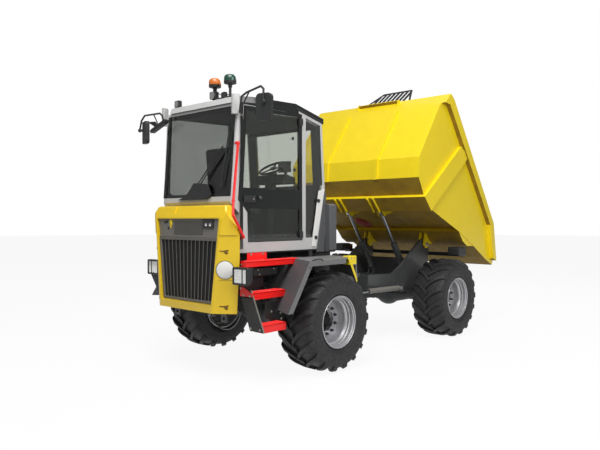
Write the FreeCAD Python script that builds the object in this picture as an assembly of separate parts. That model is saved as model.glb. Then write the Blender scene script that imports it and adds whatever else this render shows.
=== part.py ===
import FreeCAD, Part
import math
import os

# Articulated site dumper, millimetres, +Z up, +X towards the cab end, +Y the machine's left.
# The working frame has X 0 at the cab-end axle, Y 0 on the centre plane and Z 0 on the ground.
# Every shape is moved at the end, so that X 0 is the middle of the machine's length.

V = FreeCAD.Vector

# Wheels
WHEELBASE = 2810.0
TYRE_RADIUS = 575.0
TYRE_WIDTH = 500.0
TYRE_Y = 1000.0
TYRE_INNER = TYRE_Y - TYRE_WIDTH / 2
AXLE_Z = TYRE_RADIUS
REAR_AXLE_X = -WHEELBASE
TREAD_BASE_RADIUS = 538.0
RIM_RADIUS = 300.0
RIM_HALF_WIDTH = 214.0
BEAD_GAP = 1.0
TYRE_SIDES = 14
LUG_PAIRS = 14

# Joints
PIVOT_X = -1330.0
PIVOT_PIN_Z = (615.0, 905.0)
ROLL_Z = 760.0
TIP_X = REAR_AXLE_X - 170.0
TIP_Z = 1350.0
TIP_ANGLE = 50.0
STEER_ANGLE = 28.0
ROLL_ANGLE = 10.0
DOOR_HINGE = (8.0, 668.0)
HOOD_HINGE = (1205.0, 775.0)

# Named clearances
JOINT_GAP = 6.0
PIN_GAP = 1.0
PANEL_GAP = 6.0

# Cab
CAB_HALF = 660.0
CAB_WALL = 40.0
CAB_FLOOR_Z = 1380.0
CAB_SIDE = [
    (1000, CAB_FLOOR_Z),
    (1000, 1800),
    (1095, 1935),
    (1010, 3000),
    (120, 3035),
    (-355, 2920),
    (-410, 2120),
    (-255, CAB_FLOOR_Z),
]
DOOR_OUTLINE = [(890, 1490), (900, 1815), (1015, 1950), (950, 2975), (90, 3000), (12, 2990), (5, 1490)]
REAR_QUARTER = [(-55, 1520), (-55, 2960), (-318, 2895), (-365, 2165), (-205, 1520)]
SIDE_WINDOW = [(900, 2020), (1000, 2060), (950, 2960), (30, 2985), (30, 2020)]
GLASS = 6.0

# Hood
HOOD_HALF = 735.0
HOOD_REAR_X = 1077.0
HOOD_BOTTOM_Z = 735.0
HOOD_TOP_Z = 1895.0
HOOD_SKIN = 8.0

# Skip, in the raised pose it rests in
SKIP_HALF = 1170.0
SKIP_PLATE = 10.0
SKIP_SIDE = [
    (REAR_AXLE_X + 240, 3555),
    (REAR_AXLE_X + 460, 3355),
    (REAR_AXLE_X + 1000, 2595),
    (REAR_AXLE_X + 1020, 2315),
    (REAR_AXLE_X + 890, 2081),
    (REAR_AXLE_X + 720, 1892),
    (REAR_AXLE_X - 130, 1557),
    (REAR_AXLE_X - 605, 1323),
    (REAR_AXLE_X - 1030, 1095),
    (REAR_AXLE_X - 1260, 992),
    (REAR_AXLE_X - 1290, 1065),
    (REAR_AXLE_X - 1190, 1675),
    (REAR_AXLE_X + 140, 3485),
]
RIM_UP = (-0.8039, 0.5948)
FLOOR_LIFT = 70.0

# Tipping cylinders
CYLINDER_Y = 305.0
BASE_PIN = (REAR_AXLE_X + 10.0, 930.0)
ROD_EYE = (REAR_AXLE_X + 646.0, 1841.0)

# Lashing holes
FRONT_LASHING = (420.0, 655.0)
REAR_LASHING = (420.0, 810.0)
LASHING_RADIUS = 22.0

# Steering cylinder
STEER_EYE = (-1130.0, 520.0)
STEER_BASE = (REAR_AXLE_X + 640.0, 640.0)
STEER_Z = 740.0


def box(x0, x1, y0, y1, z0, z1):
    return Part.makeBox(x1 - x0, y1 - y0, z1 - z0, V(x0, y0, z0))


def prism_y(points, y0, y1):
    """Extrude an (x, z) outline along Y."""
    wire = Part.makePolygon([V(x, y0, z) for x, z in points + points[:1]])
    return Part.Face(wire).extrude(V(0, y1 - y0, 0))


def prism_x(points, x0, x1):
    """Extrude a (y, z) outline along X."""
    wire = Part.makePolygon([V(x0, y, z) for y, z in points + points[:1]])
    return Part.Face(wire).extrude(V(x1 - x0, 0, 0))


def prism_z(points, z0, z1):
    """Extrude an (x, y) outline along Z."""
    wire = Part.makePolygon([V(x, y, z0) for x, y in points + points[:1]])
    return Part.Face(wire).extrude(V(0, 0, z1 - z0))


def inset(points, distance):
    """Shrink a closed outline by a distance, with sharp corners kept."""
    result = []
    count = len(points)
    area = sum(
        points[i][0] * points[(i + 1) % count][1] - points[(i + 1) % count][0] * points[i][1]
        for i in range(count)
    )
    sign = 1.0 if area > 0 else -1.0
    for i in range(count):
        ax, az = points[i - 1]
        bx, bz = points[i]
        cx, cz = points[(i + 1) % count]
        first = math.hypot(bx - ax, bz - az)
        second = math.hypot(cx - bx, cz - bz)
        n1 = (-(bz - az) / first * sign, (bx - ax) / first * sign)
        n2 = (-(cz - bz) / second * sign, (cx - bx) / second * sign)
        scale = distance / (1 + n1[0] * n2[0] + n1[1] * n2[1])
        result.append((bx + (n1[0] + n2[0]) * scale, bz + (n1[1] + n2[1]) * scale))
    return result


def rod(start, end, radius):
    """A round bar between two points."""
    a = V(*start)
    b = V(*end)
    return Part.makeCylinder(radius, (b - a).Length, a, b - a)


def pipe(points, radius):
    """A bent round bar through the points."""
    solid = rod(points[0], points[1], radius)
    for start, end in zip(points[1:-1], points[2:]):
        solid = solid.fuse(Part.makeSphere(radius, V(*start))).fuse(rod(start, end, radius))
    return solid.removeSplitter()


def join(shapes):
    """Fuse a list of shapes into one."""
    solid = shapes[0]
    if len(shapes) > 1:
        solid = solid.multiFuse(shapes[1:])
    return solid.removeSplitter()


def cut(shape, tools):
    for tool in tools:
        shape = shape.cut(tool)
    return shape.removeSplitter()


def mirror(shape):
    """The same shape on the machine's other side."""
    return shape.mirror(V(0, 0, 0), V(0, 1, 0))


def both_sides(shape):
    return [shape, mirror(shape)]


def turned(shape, centre, axis, degrees):
    copy = shape.copy()
    copy.rotate(V(*centre), V(*axis), degrees)
    return copy


def beyond(point, normal, reach=6000.0):
    """A half space: all that lies past a point in the direction of a normal."""
    direction = V(*normal)
    direction.normalize()
    slab = Part.makeBox(reach, reach, reach, V(-reach / 2, -reach / 2, 0))
    slab.Placement = FreeCAD.Placement(V(*point), FreeCAD.Rotation(V(0, 0, 1), direction))
    return slab


def polyhedron(points, faces):
    """A closed solid from flat faces given by point numbers."""
    shell = []
    for face in faces:
        loop = [points[i] for i in face]
        shell.append(Part.Face(Part.makePolygon(loop + loop[:1])))
    solid = Part.Solid(Part.Shell(shell))
    if solid.Volume < 0:
        solid.reverse()
    return solid


# ---------------------------------------------------------------- wheels

TYRE_PROFILE = [
    (TREAD_BASE_RADIUS, 182),
    (478, TYRE_WIDTH / 2 - 3),
    (RIM_RADIUS + 22, RIM_HALF_WIDTH + 24),
    (RIM_RADIUS + 6, RIM_HALF_WIDTH - 6),
]


def ring_point(radius, y, degrees):
    angle = math.radians(degrees)
    return V(radius * math.cos(angle), y, radius * math.sin(angle))


def tyre_ring():
    """The tyre's body as a ring of flat facets about the Y axis."""
    half = TYRE_PROFILE
    profile = half + [(r, -y) for r, y in reversed(half)]
    step = 360.0 / TYRE_SIDES
    faces = []
    count = len(profile)
    for side in range(TYRE_SIDES):
        a = side * step
        b = a + step
        for i in range(count):
            r0, y0 = profile[i]
            r1, y1 = profile[(i + 1) % count]
            loop = [ring_point(r0, y0, a), ring_point(r0, y0, b)]
            loop += [ring_point(r1, y1, b), ring_point(r1, y1, a)]
            faces.append(Part.Face(Part.makePolygon(loop + loop[:1])))
    shell = Part.Shell(faces)
    solid = Part.Solid(shell)
    if solid.Volume < 0:
        solid.reverse()
    return solid


# Stations along a lug: y, angle past its root, half width in degrees, foot radius, tip radius
LUG_STATIONS = [
    (-12.0, 0.0, 2.8, 518.0, TYRE_RADIUS),
    (TYRE_WIDTH / 2, 22.0, 3.4, 470.0, 540.0),
]


def lug(root, side):
    """One tread lug from the middle of the tread round the shoulder."""
    points = []
    for y, advance, half, foot, tip in LUG_STATIONS:
        middle = root + advance
        points.append(ring_point(foot, y * side, middle - half))
        points.append(ring_point(tip, y * side, middle - half * 0.8))
        points.append(ring_point(tip, y * side, middle + half * 0.8))
        points.append(ring_point(foot, y * side, middle + half))
    faces = [(0, 1, 2), (0, 2, 3)]
    last = 4 * (len(LUG_STATIONS) - 1)
    faces += [(last, last + 1, last + 2), (last, last + 2, last + 3)]
    for start in range(0, last, 4):
        for i in range(4):
            a = start + i
            b = start + (i + 1) % 4
            faces += [(a, b, b + 4), (a, b + 4, a + 4)]
    return polyhedron(points, faces)


def tyre_shape():
    """Tyre with a chevron of lugs, about the Y axis."""
    pitch = 360.0 / LUG_PAIRS
    lugs = [lug(i * pitch, 1) for i in range(LUG_PAIRS)]
    lugs += [lug((i + 0.5) * pitch, -1) for i in range(LUG_PAIRS)]
    return tyre_ring().multiFuse(lugs)


def wheel_parts(x, side):
    """Tyre and rim at one corner."""
    tyre = tyre_shape()
    move = V(x, TYRE_Y, AXLE_Z)
    tyre.translate(move)
    rim = rim_shape()
    rim.translate(move)
    if side < 0:
        tyre = mirror(tyre)
        rim = mirror(rim)
    return tyre, rim


def revolve(profile):
    """Turn a (radius, y) outline about the Y axis."""
    wire = Part.makePolygon([V(r, y, 0) for r, y in profile + profile[:1]])
    return Part.Face(wire).revolve(V(0, 0, 0), V(0, 1, 0), 360)


def rim_shape():
    """A deep-dished wheel with its hub, about the Y axis, outer side at +Y."""
    well = RIM_RADIUS - 34
    seat = RIM_RADIUS - 16
    half = RIM_HALF_WIDTH
    barrel = [
        (RIM_RADIUS, half + 2),
        (RIM_RADIUS, half + 14),
        (RIM_RADIUS - 8, half + 14),
        (RIM_RADIUS - 24, half - 6),
        (RIM_RADIUS - 30, 120),
        (well - 8, 90),
        (well - 8, -90),
        (seat - 10, -120),
        (seat - 10, -half + 14),
        (RIM_RADIUS - 8, -half - 14),
        (RIM_RADIUS, -half - 14),
        (RIM_RADIUS, -half - 2),
        (seat - 1, -half + 16),
        (seat - 1, -112),
        (well, -82),
        (well, 82),
        (seat - 1, 112),
        (seat - 1, half - 16),
    ]
    disc = [(well - 6, -10), (well - 6, 8), (190, 26), (110, 26), (110, 8), (184, 8)]
    hub = [(0, -60), (140, -60), (150, 0), (150, 60), (128, 96), (70, 104), (70, 120), (0, 120)]
    shape = join([revolve(barrel), revolve(disc), revolve(hub)])
    return shape


# ---------------------------------------------------------------- front unit

RAIL_Y0 = 280.0
RAIL_Y1 = 340.0
RAIL_Z0 = 700.0
RAIL_Z1 = 1000.0


HOSE_CENTRE = (1010.0, 411.0, 802.0)
HOSE_BEND = 269.0
HOSE_RADIUS = 8.0


def hanging_hose():
    """Round hose that hangs in a bow below the front cross plate."""
    centre = V(*HOSE_CENTRE)
    arm = V(0, -math.cos(math.radians(12)), -math.sin(math.radians(12)))
    start = centre + arm * HOSE_BEND
    disc = Part.Face(Part.Wire(Part.makeCircle(HOSE_RADIUS, start, V(1, 0, 0).cross(arm))))
    bow = disc.revolve(centre, V(1, 0, 0), 156)
    x, y, z = HOSE_CENTRE
    union = rod((x, y + HOSE_BEND - 3, z - 60), (x, 545, z - 15), HOSE_RADIUS + 2)
    return [bow, union]


def front_frame():
    """Two rails, cross plates, cab legs, a hose and the rear bearing plate."""
    pieces = []
    for rail in both_sides(box(-980, 1030, RAIL_Y0, RAIL_Y1, RAIL_Z0, RAIL_Z1)):
        pieces.append(rail)
    pieces.append(box(990, 1030, -560, 560, 740, 1130))
    pieces.append(box(-1020, -980, -400, 400, 540, 1080))
    pieces.append(box(-640, -600, -RAIL_Y1, RAIL_Y1, RAIL_Z0, RAIL_Z1))
    pieces.append(rod((-1020, 0, ROLL_Z), (-1058, 0, ROLL_Z), 200))
    for leg in both_sides(box(-250, -180, 300, 600, RAIL_Z1 - 60, CAB_FLOOR_Z)):
        pieces.append(leg)
    for leg in both_sides(box(930, 990, 300, 600, RAIL_Z1 - 60, CAB_FLOOR_Z)):
        pieces.append(leg)
    y, z = FRONT_LASHING
    for tab in both_sides(box(1000, 1030, y - 48, y + 48, z - 48, 760)):
        pieces.append(tab)
    for brace in both_sides(prism_y([(-980, 900), (-640, 1000), (-980, 1060)], RAIL_Y0, RAIL_Y1)):
        pieces.append(brace)
    pieces += hanging_hose()
    return cut(join(pieces), both_sides(rod((980, y, z), (1050, y, z), LASHING_RADIUS)))


def axle(x, reach):
    """Axle beam with its round gear housing and saddles up to the frame."""
    inner = TYRE_Y - 60 - JOINT_GAP
    pieces = [rod((x, -inner, AXLE_Z), (x, inner, AXLE_Z), 88)]
    pieces.append(Part.makeSphere(200, V(x, 0, AXLE_Z)))
    for flange in both_sides(rod((x, inner - 60, AXLE_Z), (x, inner, AXLE_Z), 150)):
        pieces.append(flange)
    for cone in both_sides(Part.makeCone(150, 90, 260, V(x, 120, AXLE_Z), V(0, 1, 0))):
        pieces.append(cone)
    for saddle in both_sides(box(x - 110, x + 110, reach[0], reach[1], AXLE_Z, reach[2])):
        pieces.append(saddle)
    return join(pieces)


FENDER_TOP = 1292.0
FENDER_SKIN = 20.0
FENDER_FRONT = (505.0, 1220.0, FENDER_TOP)
FENDER_NORMAL = (1.0, -0.5326, 0.6425)
FENDER_OUTER = 1220.0
FENDER_INNER = 690.0
FENDER_REAR_X = -477.0
REAR_CORNER_Y = 1104.0
TREAD_REAR = 225.0
TREAD_OUTER = 800.0


def beyond_slope(distance):
    """A half space ahead of the mudguard's sloping front face."""
    direction = V(*FENDER_NORMAL)
    direction.normalize()
    start = V(*FENDER_FRONT) + direction * distance
    return beyond(tuple(start), FENDER_NORMAL)


def front_fenders():
    """Bent sheet mudguards over the cab-end wheels, with a block at the rear end."""
    outer = FENDER_OUTER
    inner = FENDER_INNER
    top = FENDER_TOP
    block = box(-380, 900, inner, outer, 755, top).fuse(box(0, 900, RAIL_Y1 + 10, inner, 755, top))
    corner = beyond((-130, outer, 0), (-0.599, 0.801, 0))
    corner = corner.common(box(-500, 0, REAR_CORNER_Y, 1300, 0, 2000))
    block = block.cut(beyond_slope(0)).cut(corner)
    hollow = box(-500, 900, 0, 2000, 0, top - FENDER_SKIN).cut(beyond_slope(-FENDER_SKIN))
    sheet = block.cut(hollow)
    lip_hollow = box(-500, 900, 0, 2000, 0, top - 60).cut(beyond_slope(-60))
    lip = block.common(box(-125, 900, outer - 12, outer, 0, 2000)).cut(lip_hollow)
    back = FENDER_REAR_X
    rear = [(-380, top), (back, top), (back - 6, 1190), (back - 23, 1000)]
    rear += [(back - 5, 1000), (back + 15, 1190), (-380, 1190)]
    post = box(-240, -190, 602, 720, 1200, top - FENDER_SKIN)
    shape = join([sheet, lip, prism_y(rear, inner, REAR_CORNER_Y), post])
    shape = shape.cut(box(TREAD_REAR - PANEL_GAP, 900, 600, TREAD_OUTER + PANEL_GAP, 1200, 1400))
    return Part.makeCompound(both_sides(shape))


STEP_Z = [(1232.0, 1300.0), (897.0, 978.0), (567.0, 655.0)]
STRINGER_X = 1046.0


def steps():
    """Three treads, the side plates and the lamp's arm, on the left."""
    high, middle, low = STEP_Z
    pieces = [box(TREAD_REAR, 1050, 690, TREAD_OUTER, high[0], high[1])]
    tread = box(400, 1052, 770, 910, middle[0], middle[1])
    pieces.append(tread.common(beyond_slope(PANEL_GAP)))
    pieces.append(box(705, 1045, 925, 1058, low[0], low[1]))
    plate = [(700, 1000), (885, 1000), (1075, 575), (870, 575)]
    pieces.append(prism_x(plate, STRINGER_X, STRINGER_X + 14))
    gusset = [(722, 1030), (760, 1030), (932, 957), (905, 930), (722, 930)]
    pieces.append(prism_x(gusset, STRINGER_X + 2, STRINGER_X + 20))
    pieces.append(box(700, STRINGER_X, 690, 705, 880, high[0] + 2))
    riser = [(640, high[1] - 2), (936, high[1] - 2), (936, CAB_FLOOR_Z - 2), (640, CAB_FLOOR_Z - 2)]
    pieces.append(prism_y(riser, 690, 698))
    back = [(705, 1000), (770, 1000), (925, 685), (925, low[0]), (860, low[0])]
    pieces.append(prism_x(back, 730, 744))
    web = [(880, 862), (660, 862), (735, 740), (600, 740)]
    web += [(588, 640), (600, 620), (720, 620), (880, 690)]
    pieces.append(prism_y(web, 907, 919))
    pieces.append(box(930, STRINGER_X, 600, 700, 1040, 1120))
    pieces.append(box(560, 925, 703, 790, 1128, 1212))
    return join(pieces)


TANK_WIDTH = 170.0
TANK_TOP_Z = 1230.0


def side_tank():
    """Fuel tank that fills the steps' place on the right."""
    top = TANK_TOP_Z
    outline = [(500, 700), (940, 700), (940, top), (300, top), (300, 960)]
    outside = FENDER_INNER + TANK_WIDTH
    tank = mirror(prism_y(outline, FENDER_INNER, outside).common(beyond_slope(2 * PANEL_GAP)))
    y = FENDER_INNER + 100
    neck = rod((860, -y, top - 5), (860, -y, top + 32), 45)
    bracket = box(900, 1040, -700, -600, 1040, 1120)
    return join([tank, neck, bracket])


def engine_block():
    return box(180, 930, -262, 262, 800, 1330)


LAMP_FACE_X = 1185.0
LAMP_SIZE = (100.0, 226.0, 183.0)
LAMP_BOTTOM_Z = 1062.0
RIGHT_LAMP_BACK = 108.0


def lamp_head(face_x, y0):
    """One square headlamp with its lens a little proud."""
    depth, width, height = LAMP_SIZE
    z0 = LAMP_BOTTOM_Z
    body = box(face_x - depth, face_x, y0, y0 + width, z0, z0 + height)
    lens = box(face_x, face_x + 6, y0 + 12, y0 + width - 12, z0 + 12, z0 + height - 12)
    return [body, lens]


def lamps():
    """Two headlamps on brackets beside the hood."""
    beside_hood = HOOD_HALF + PANEL_GAP
    arm = box(STRINGER_X + 14, LAMP_FACE_X - 90, 760, 830, 1040, 1200)
    left = join(lamp_head(LAMP_FACE_X, beside_hood) + [arm])
    web = [(690, 1110), (940, 1110), (940, 1066), (740, 800), (706, 800), (706, 1045), (690, 1045)]
    bracket = prism_x(web, 1041, 1053)
    right = join(lamp_head(LAMP_FACE_X - RIGHT_LAMP_BACK, beside_hood) + [bracket])
    return Part.makeCompound([left, mirror(right)])


# ---------------------------------------------------------------- hood

HOOD_FRONT_X = 1245.0
HOOD_BEND = (1222.0, 1748.0)
HOOD_CREASE_Z = 1575.0
CHAMFER_POINT = (HOOD_FRONT_X, 473.0, HOOD_BOTTOM_Z)
CHAMFER_NORMAL = (0.8066, 0.5892, -0.0444)
NOTCH_HALF = 245.0
NOTCH_DEPTH = 12.0
CORNER_RISE = 9.0


def hood_cut(point, normal, skin):
    """The half space past one of the hood's faces, moved in by the skin."""
    direction = V(*normal)
    direction.normalize()
    return beyond(tuple(V(*point) - direction * skin), normal)


def hood_block(skin):
    """The hood's outside, or its inside when a skin thickness is given."""
    block = box(
        HOOD_REAR_X - skin,
        1300,
        -HOOD_HALF + skin,
        HOOD_HALF - skin,
        HOOD_BOTTOM_Z - skin,
        HOOD_TOP_Z - skin,
    )
    bend_x, bend_z = HOOD_BEND
    lean = (HOOD_FRONT_X - bend_x) / (bend_z - HOOD_BOTTOM_Z)
    block = block.cut(hood_cut((HOOD_FRONT_X, 0, HOOD_BOTTOM_Z), (1.0, 0.0, lean), skin))
    bevel = (0.93, 0.0, 0.367)
    block = block.cut(hood_cut((bend_x, 0, bend_z), bevel, skin))
    half = NOTCH_HALF + skin
    notch = hood_cut((bend_x, 0, bend_z), bevel, skin + NOTCH_DEPTH)
    block = block.cut(notch.common(box(1000, 1400, -half, half, 1808 - skin, 2000)))
    for side in (1, -1):
        x, y, z = CHAMFER_POINT
        nx, ny, nz = CHAMFER_NORMAL
        raised = hood_cut((x, y * side, z), (nx, ny * side, nz), skin - CORNER_RISE)
        flat = hood_cut((x, y * side, z), (nx, ny * side, nz), skin)
        lower = box(1000, 1400, -900, 900, 600, HOOD_CREASE_Z + skin)
        block = block.cut(raised).cut(flat.common(lower))
        block = block.cut(hood_cut((0, side * HOOD_HALF, 1660), (0.0, side * 0.88, 0.47), skin))
    return block


GRILLE_LOW = (455.0, 820.0)
GRILLE_HIGH = (560.0, 1748.0)
PANEL_Z = 1540.0
PANEL_X = 1183.0
BAR_COUNT = 13
BAR_WIDTH = 14.0


def grille_half(z):
    share = (z - GRILLE_LOW[1]) / (GRILLE_HIGH[1] - GRILLE_LOW[1])
    return GRILLE_LOW[0] + share * (GRILLE_HIGH[0] - GRILLE_LOW[0])


def across(low, high, gap):
    """A symmetric (y, z) outline between two heights of the front opening."""
    a = grille_half(low) - gap
    b = grille_half(high) - gap
    return [(a, low), (b, high), (-b, high), (-a, low)]


def hood_shell():
    """Yellow cover with the front opening cut out and a return round it."""
    outline = across(GRILLE_LOW[1], GRILLE_HIGH[1], 0)
    shell = hood_block(0).cut(hood_block(HOOD_SKIN))
    turned_in = prism_x(inset(outline, -HOOD_SKIN), PANEL_X, HOOD_FRONT_X + 20).common(hood_block(0))
    return cut(shell.fuse(turned_in), [prism_x(outline, 1100, 1300)])


def hood_panel():
    """Dark panel above the grille, with a blank plate, a latch and a small lamp."""
    face = PANEL_X + 10
    pieces = [prism_x(across(PANEL_Z, GRILLE_HIGH[1] - 2, 2), PANEL_X, face)]
    pieces.append(box(face, face + 6, -255, 265, 1572, 1717))
    pieces.append(box(face, face + 18, 268, 452, 1642, 1740))
    pieces.append(box(face, face + 12, -334, -290, 1640, 1736))
    return join(pieces)


def grille():
    """Upright bars in a frame, in front of a closed back."""
    low = GRILLE_LOW[1] + 2
    high = PANEL_Z - 2
    face = PANEL_X + 22
    frame = prism_x(across(low, high, 2), PANEL_X, face)
    opening = [(y, z) for y, z in inset(across(low, high, 2), 30)]
    frame = frame.cut(prism_x(opening, PANEL_X + 4, face + 10))
    pieces = [frame]
    half_low = opening[0][0]
    half_high = opening[1][0]
    z0 = opening[0][1] - 4
    z1 = opening[1][1] + 4
    for i in range(BAR_COUNT):
        share = (i + 1) / (BAR_COUNT + 1) * 2 - 1
        a = share * half_low
        b = share * half_high
        w = BAR_WIDTH / 2
        bar = [(a - w, z0), (a + w, z0), (b + w, z1), (b - w, z1)]
        pieces.append(prism_x(bar, PANEL_X + 2, face - 5))
    return join(pieces)


# ---------------------------------------------------------------- cab


def cab_block(depth):
    """The cab's outside, or a smaller body inside it."""
    half = CAB_HALF - depth
    block = prism_y(inset(CAB_SIDE, depth), -half, half)
    for side in (1, -1):
        corner = V(1095, side * 600, 0) - V(0.52, side * 0.854, 0) * depth
        block = block.cut(beyond(tuple(corner), (0.42, side * 0.907, 0)))
    return block


WINDSCREEN_Z = (1990.0, 2972.0)
WINDSCREEN_HALF = 582.0
REAR_GLASS_Z = (2170.0, 2860.0)
REAR_GLASS_HALF = 500.0


def windscreen_zone(gap):
    half = WINDSCREEN_HALF - gap
    return box(950, 1150, -half, half, WINDSCREEN_Z[0] + gap, WINDSCREEN_Z[1] - gap)


def rear_zone(gap):
    half = REAR_GLASS_HALF - gap
    return box(-450, -340, -half, half, REAR_GLASS_Z[0] + gap, REAR_GLASS_Z[1] - gap)


def cab_frame():
    """Hollow cab of posts, sill, floor and lower walls, with the openings cut."""
    shell = cab_block(0).cut(cab_block(CAB_WALL))
    outer = CAB_HALF + 20
    inner = CAB_HALF - CAB_WALL - 20
    tools = [windscreen_zone(0), rear_zone(0)]
    tools.append(prism_y(DOOR_OUTLINE, inner, outer))
    tools.append(prism_y(REAR_QUARTER, inner, outer))
    tools.append(prism_y(REAR_QUARTER, -outer, -inner))
    tools.append(prism_y(SIDE_WINDOW, -outer, -inner))
    return cut(shell, tools)


CORNER_NORMAL = (0.42, 0.907, 0)
ROOF_TOP_Z = 3079.0
ROOF_SIDE = [
    (1032, 3004),
    (1000, ROOF_TOP_Z - 3),
    (120, ROOF_TOP_Z + 26),
    (-392, 2985),
    (-376, 2917),
    (120, 3037),
]


def mirror_mount():
    """Rounded cover on the cab's upper front corner that holds the mirror's tube."""
    nx, ny, _ = CORNER_NORMAL
    centre = (1040, 628)
    points = []
    for along, out in ((-45, -10), (45, -10), (45, 22), (30, 38), (-30, 38), (-45, 22)):
        points.append((centre[0] + ny * along + nx * out, centre[1] - nx * along + ny * out))
    block = prism_z(points, 2868, 3082)
    return block.cut(cab_block(0)).cut(roof_slab())


def roof_slab():
    """Roof slab that overhangs the windscreen and slopes down at the rear."""
    slab = prism_y(ROOF_SIDE, -CAB_HALF, CAB_HALF)
    slab = slab.cut(cab_block(0))
    nx, ny, _ = CORNER_NORMAL
    for side in (1, -1):
        slab = slab.cut(beyond((1032, side * 560, 0), (nx, side * ny, 0)))
    return slab.removeSplitter()


def cab_roof():
    """Roof with the mirror covers at its front corners."""
    mount = mirror_mount()
    return Part.makeCompound([roof_slab(), mount.Solids[0], mirror(mount.Solids[0])])


def windscreen():
    layer = cab_block(10).cut(cab_block(10 + GLASS))
    return layer.common(windscreen_zone(1)).removeSplitter()


def rear_glass():
    """Rear pane and both rear quarter panes."""
    layer = cab_block(10).cut(cab_block(10 + GLASS))
    rear = layer.common(rear_zone(1))
    pane = prism_y(inset(REAR_QUARTER, 1), CAB_HALF - 10 - GLASS, CAB_HALF - 10)
    return Part.makeCompound([rear.Solids[0], pane, mirror(pane)])


def side_glass():
    return prism_y(inset(SIDE_WINDOW, 1), -CAB_HALF + 10, -CAB_HALF + 10 + GLASS)


DOOR_BAND = (1860.0, 2085.0)


def door_rim():
    return inset(DOOR_OUTLINE, PANEL_GAP)


def door_frame():
    """Black border and middle band that hold the door's panes, with the handle."""
    outline = door_rim()
    frame = prism_y(outline, CAB_HALF - 34, CAB_HALF - 2)
    hole = prism_y(inset(outline, 45), CAB_HALF - 60, CAB_HALF + 20)
    band = box(-100, 1100, CAB_HALF - 60, CAB_HALF + 20, DOOR_BAND[0], DOOR_BAND[1])
    frame = frame.cut(hole.cut(band))
    low, high = DOOR_BAND
    plate = box(788, 961, CAB_HALF - 3, CAB_HALF + 8, low + 67, high - 84)
    knob = rod((717, CAB_HALF - 3, high - 101), (717, CAB_HALF + 12, high - 101), 26)
    return join([frame, plate, knob])


def door_glass():
    outline = inset(door_rim(), 46)
    pane = prism_y(outline, CAB_HALF - 20, CAB_HALF - 20 + GLASS)
    band = box(-100, 1100, CAB_HALF - 60, CAB_HALF + 20, DOOR_BAND[0] - 1, DOOR_BAND[1] + 1)
    return pane.cut(band)


SEAT_FRONT_X = 260.0
SEAT_TOP_Z = 1930.0
SEAT_BACK_TOP_Z = 2600.0
SEAT_BOTTOM_Z = 1800.0
WHEEL_CENTRE = (-165.0, 2400.0)


def seat():
    """Seat that faces the skip."""
    cushion = box(SEAT_FRONT_X, 720, -240, 240, SEAT_BOTTOM_Z, SEAT_TOP_Z)
    back = box(640, 750, -230, 230, SEAT_TOP_Z, SEAT_BACK_TOP_Z)
    return join([cushion, turned(back, (690, 0, SEAT_TOP_Z), (0, 1, 0), 4)])


def console():
    """Seat plinth, steering column and side console."""
    floor = CAB_FLOOR_Z + CAB_WALL
    x, z = WHEEL_CENTRE
    column = prism_y([(-80, floor), (60, floor), (x + 60, z - 60), (x - 10, z - 60)], -60, 60)
    dash = prism_y([(-300, z - 210), (x + 90, z - 210), (x + 40, z - 90), (-300, z - 130)], -260, 260)
    plinth = box(SEAT_FRONT_X + 70, 650, -170, 170, floor, SEAT_BOTTOM_Z - 4)
    foot = box(-100, 400, -60, 60, floor, floor + 20)
    arm = box(250, 620, -360, -270, SEAT_TOP_Z - 70, SEAT_TOP_Z + 60)
    arm_post = box(380, 480, -340, -250, floor + 80, SEAT_TOP_Z - 60)
    arm_foot = box(400, 460, -250, -160, floor + 140, floor + 220)
    return join([column, dash, plinth, foot, arm, arm_post, arm_foot])


def steering_wheel():
    wheel = Part.makeTorus(185, 14, V(0, 0, 0), V(0, 0, 1))
    pieces = [wheel, Part.makeCylinder(38, 26, V(0, 0, -16))]
    for angle in (90, 210, 330):
        pieces.append(turned(box(20, 178, -11, 11, -8, 4), (0, 0, 0), (0, 0, 1), angle))
    shape = join(pieces)
    shape = turned(shape, (0, 0, 0), (0, 1, 0), 28)
    x, z = WHEEL_CENTRE
    shape.translate(V(x, 0, z))
    return shape


SCREEN_X = 1098.0


def wipers():
    """Motor cover low on the windscreen with two wiper arms and the blade."""
    cover = [(-290, 1962), (230, 1962), (298, 2010), (241, 2131), (4, 2150), (-103, 2039), (-213, 1985)]
    pieces = [prism_x(cover, SCREEN_X, SCREEN_X + 20)]
    pieces.append(rod((SCREEN_X + 14, -20, 2050), (1080, 467, 2537), 7))
    pieces.append(rod((SCREEN_X + 14, 40, 2050), (1080, 467, 2517), 7))
    pieces.append(rod((1074, 563, 2681), (1098, 453, 2096), 8))
    return join(pieces).cut(cab_block(0))


def rounded_head(x0, x1, y0, y1, z0, z1, radius):
    """Mirror head with rounded corners."""
    head = box(x0, x1, y0, y1, z0, z1)
    long_edges = [e for e in head.Edges if abs(e.Length - (x1 - x0)) < 0.5]
    return head.makeFillet(radius, long_edges)


def turned(shape, centre, axis, angle):
    """The shape turned about a line through a point."""
    shape.rotate(V(*centre), V(*axis), angle)
    return shape


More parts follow.
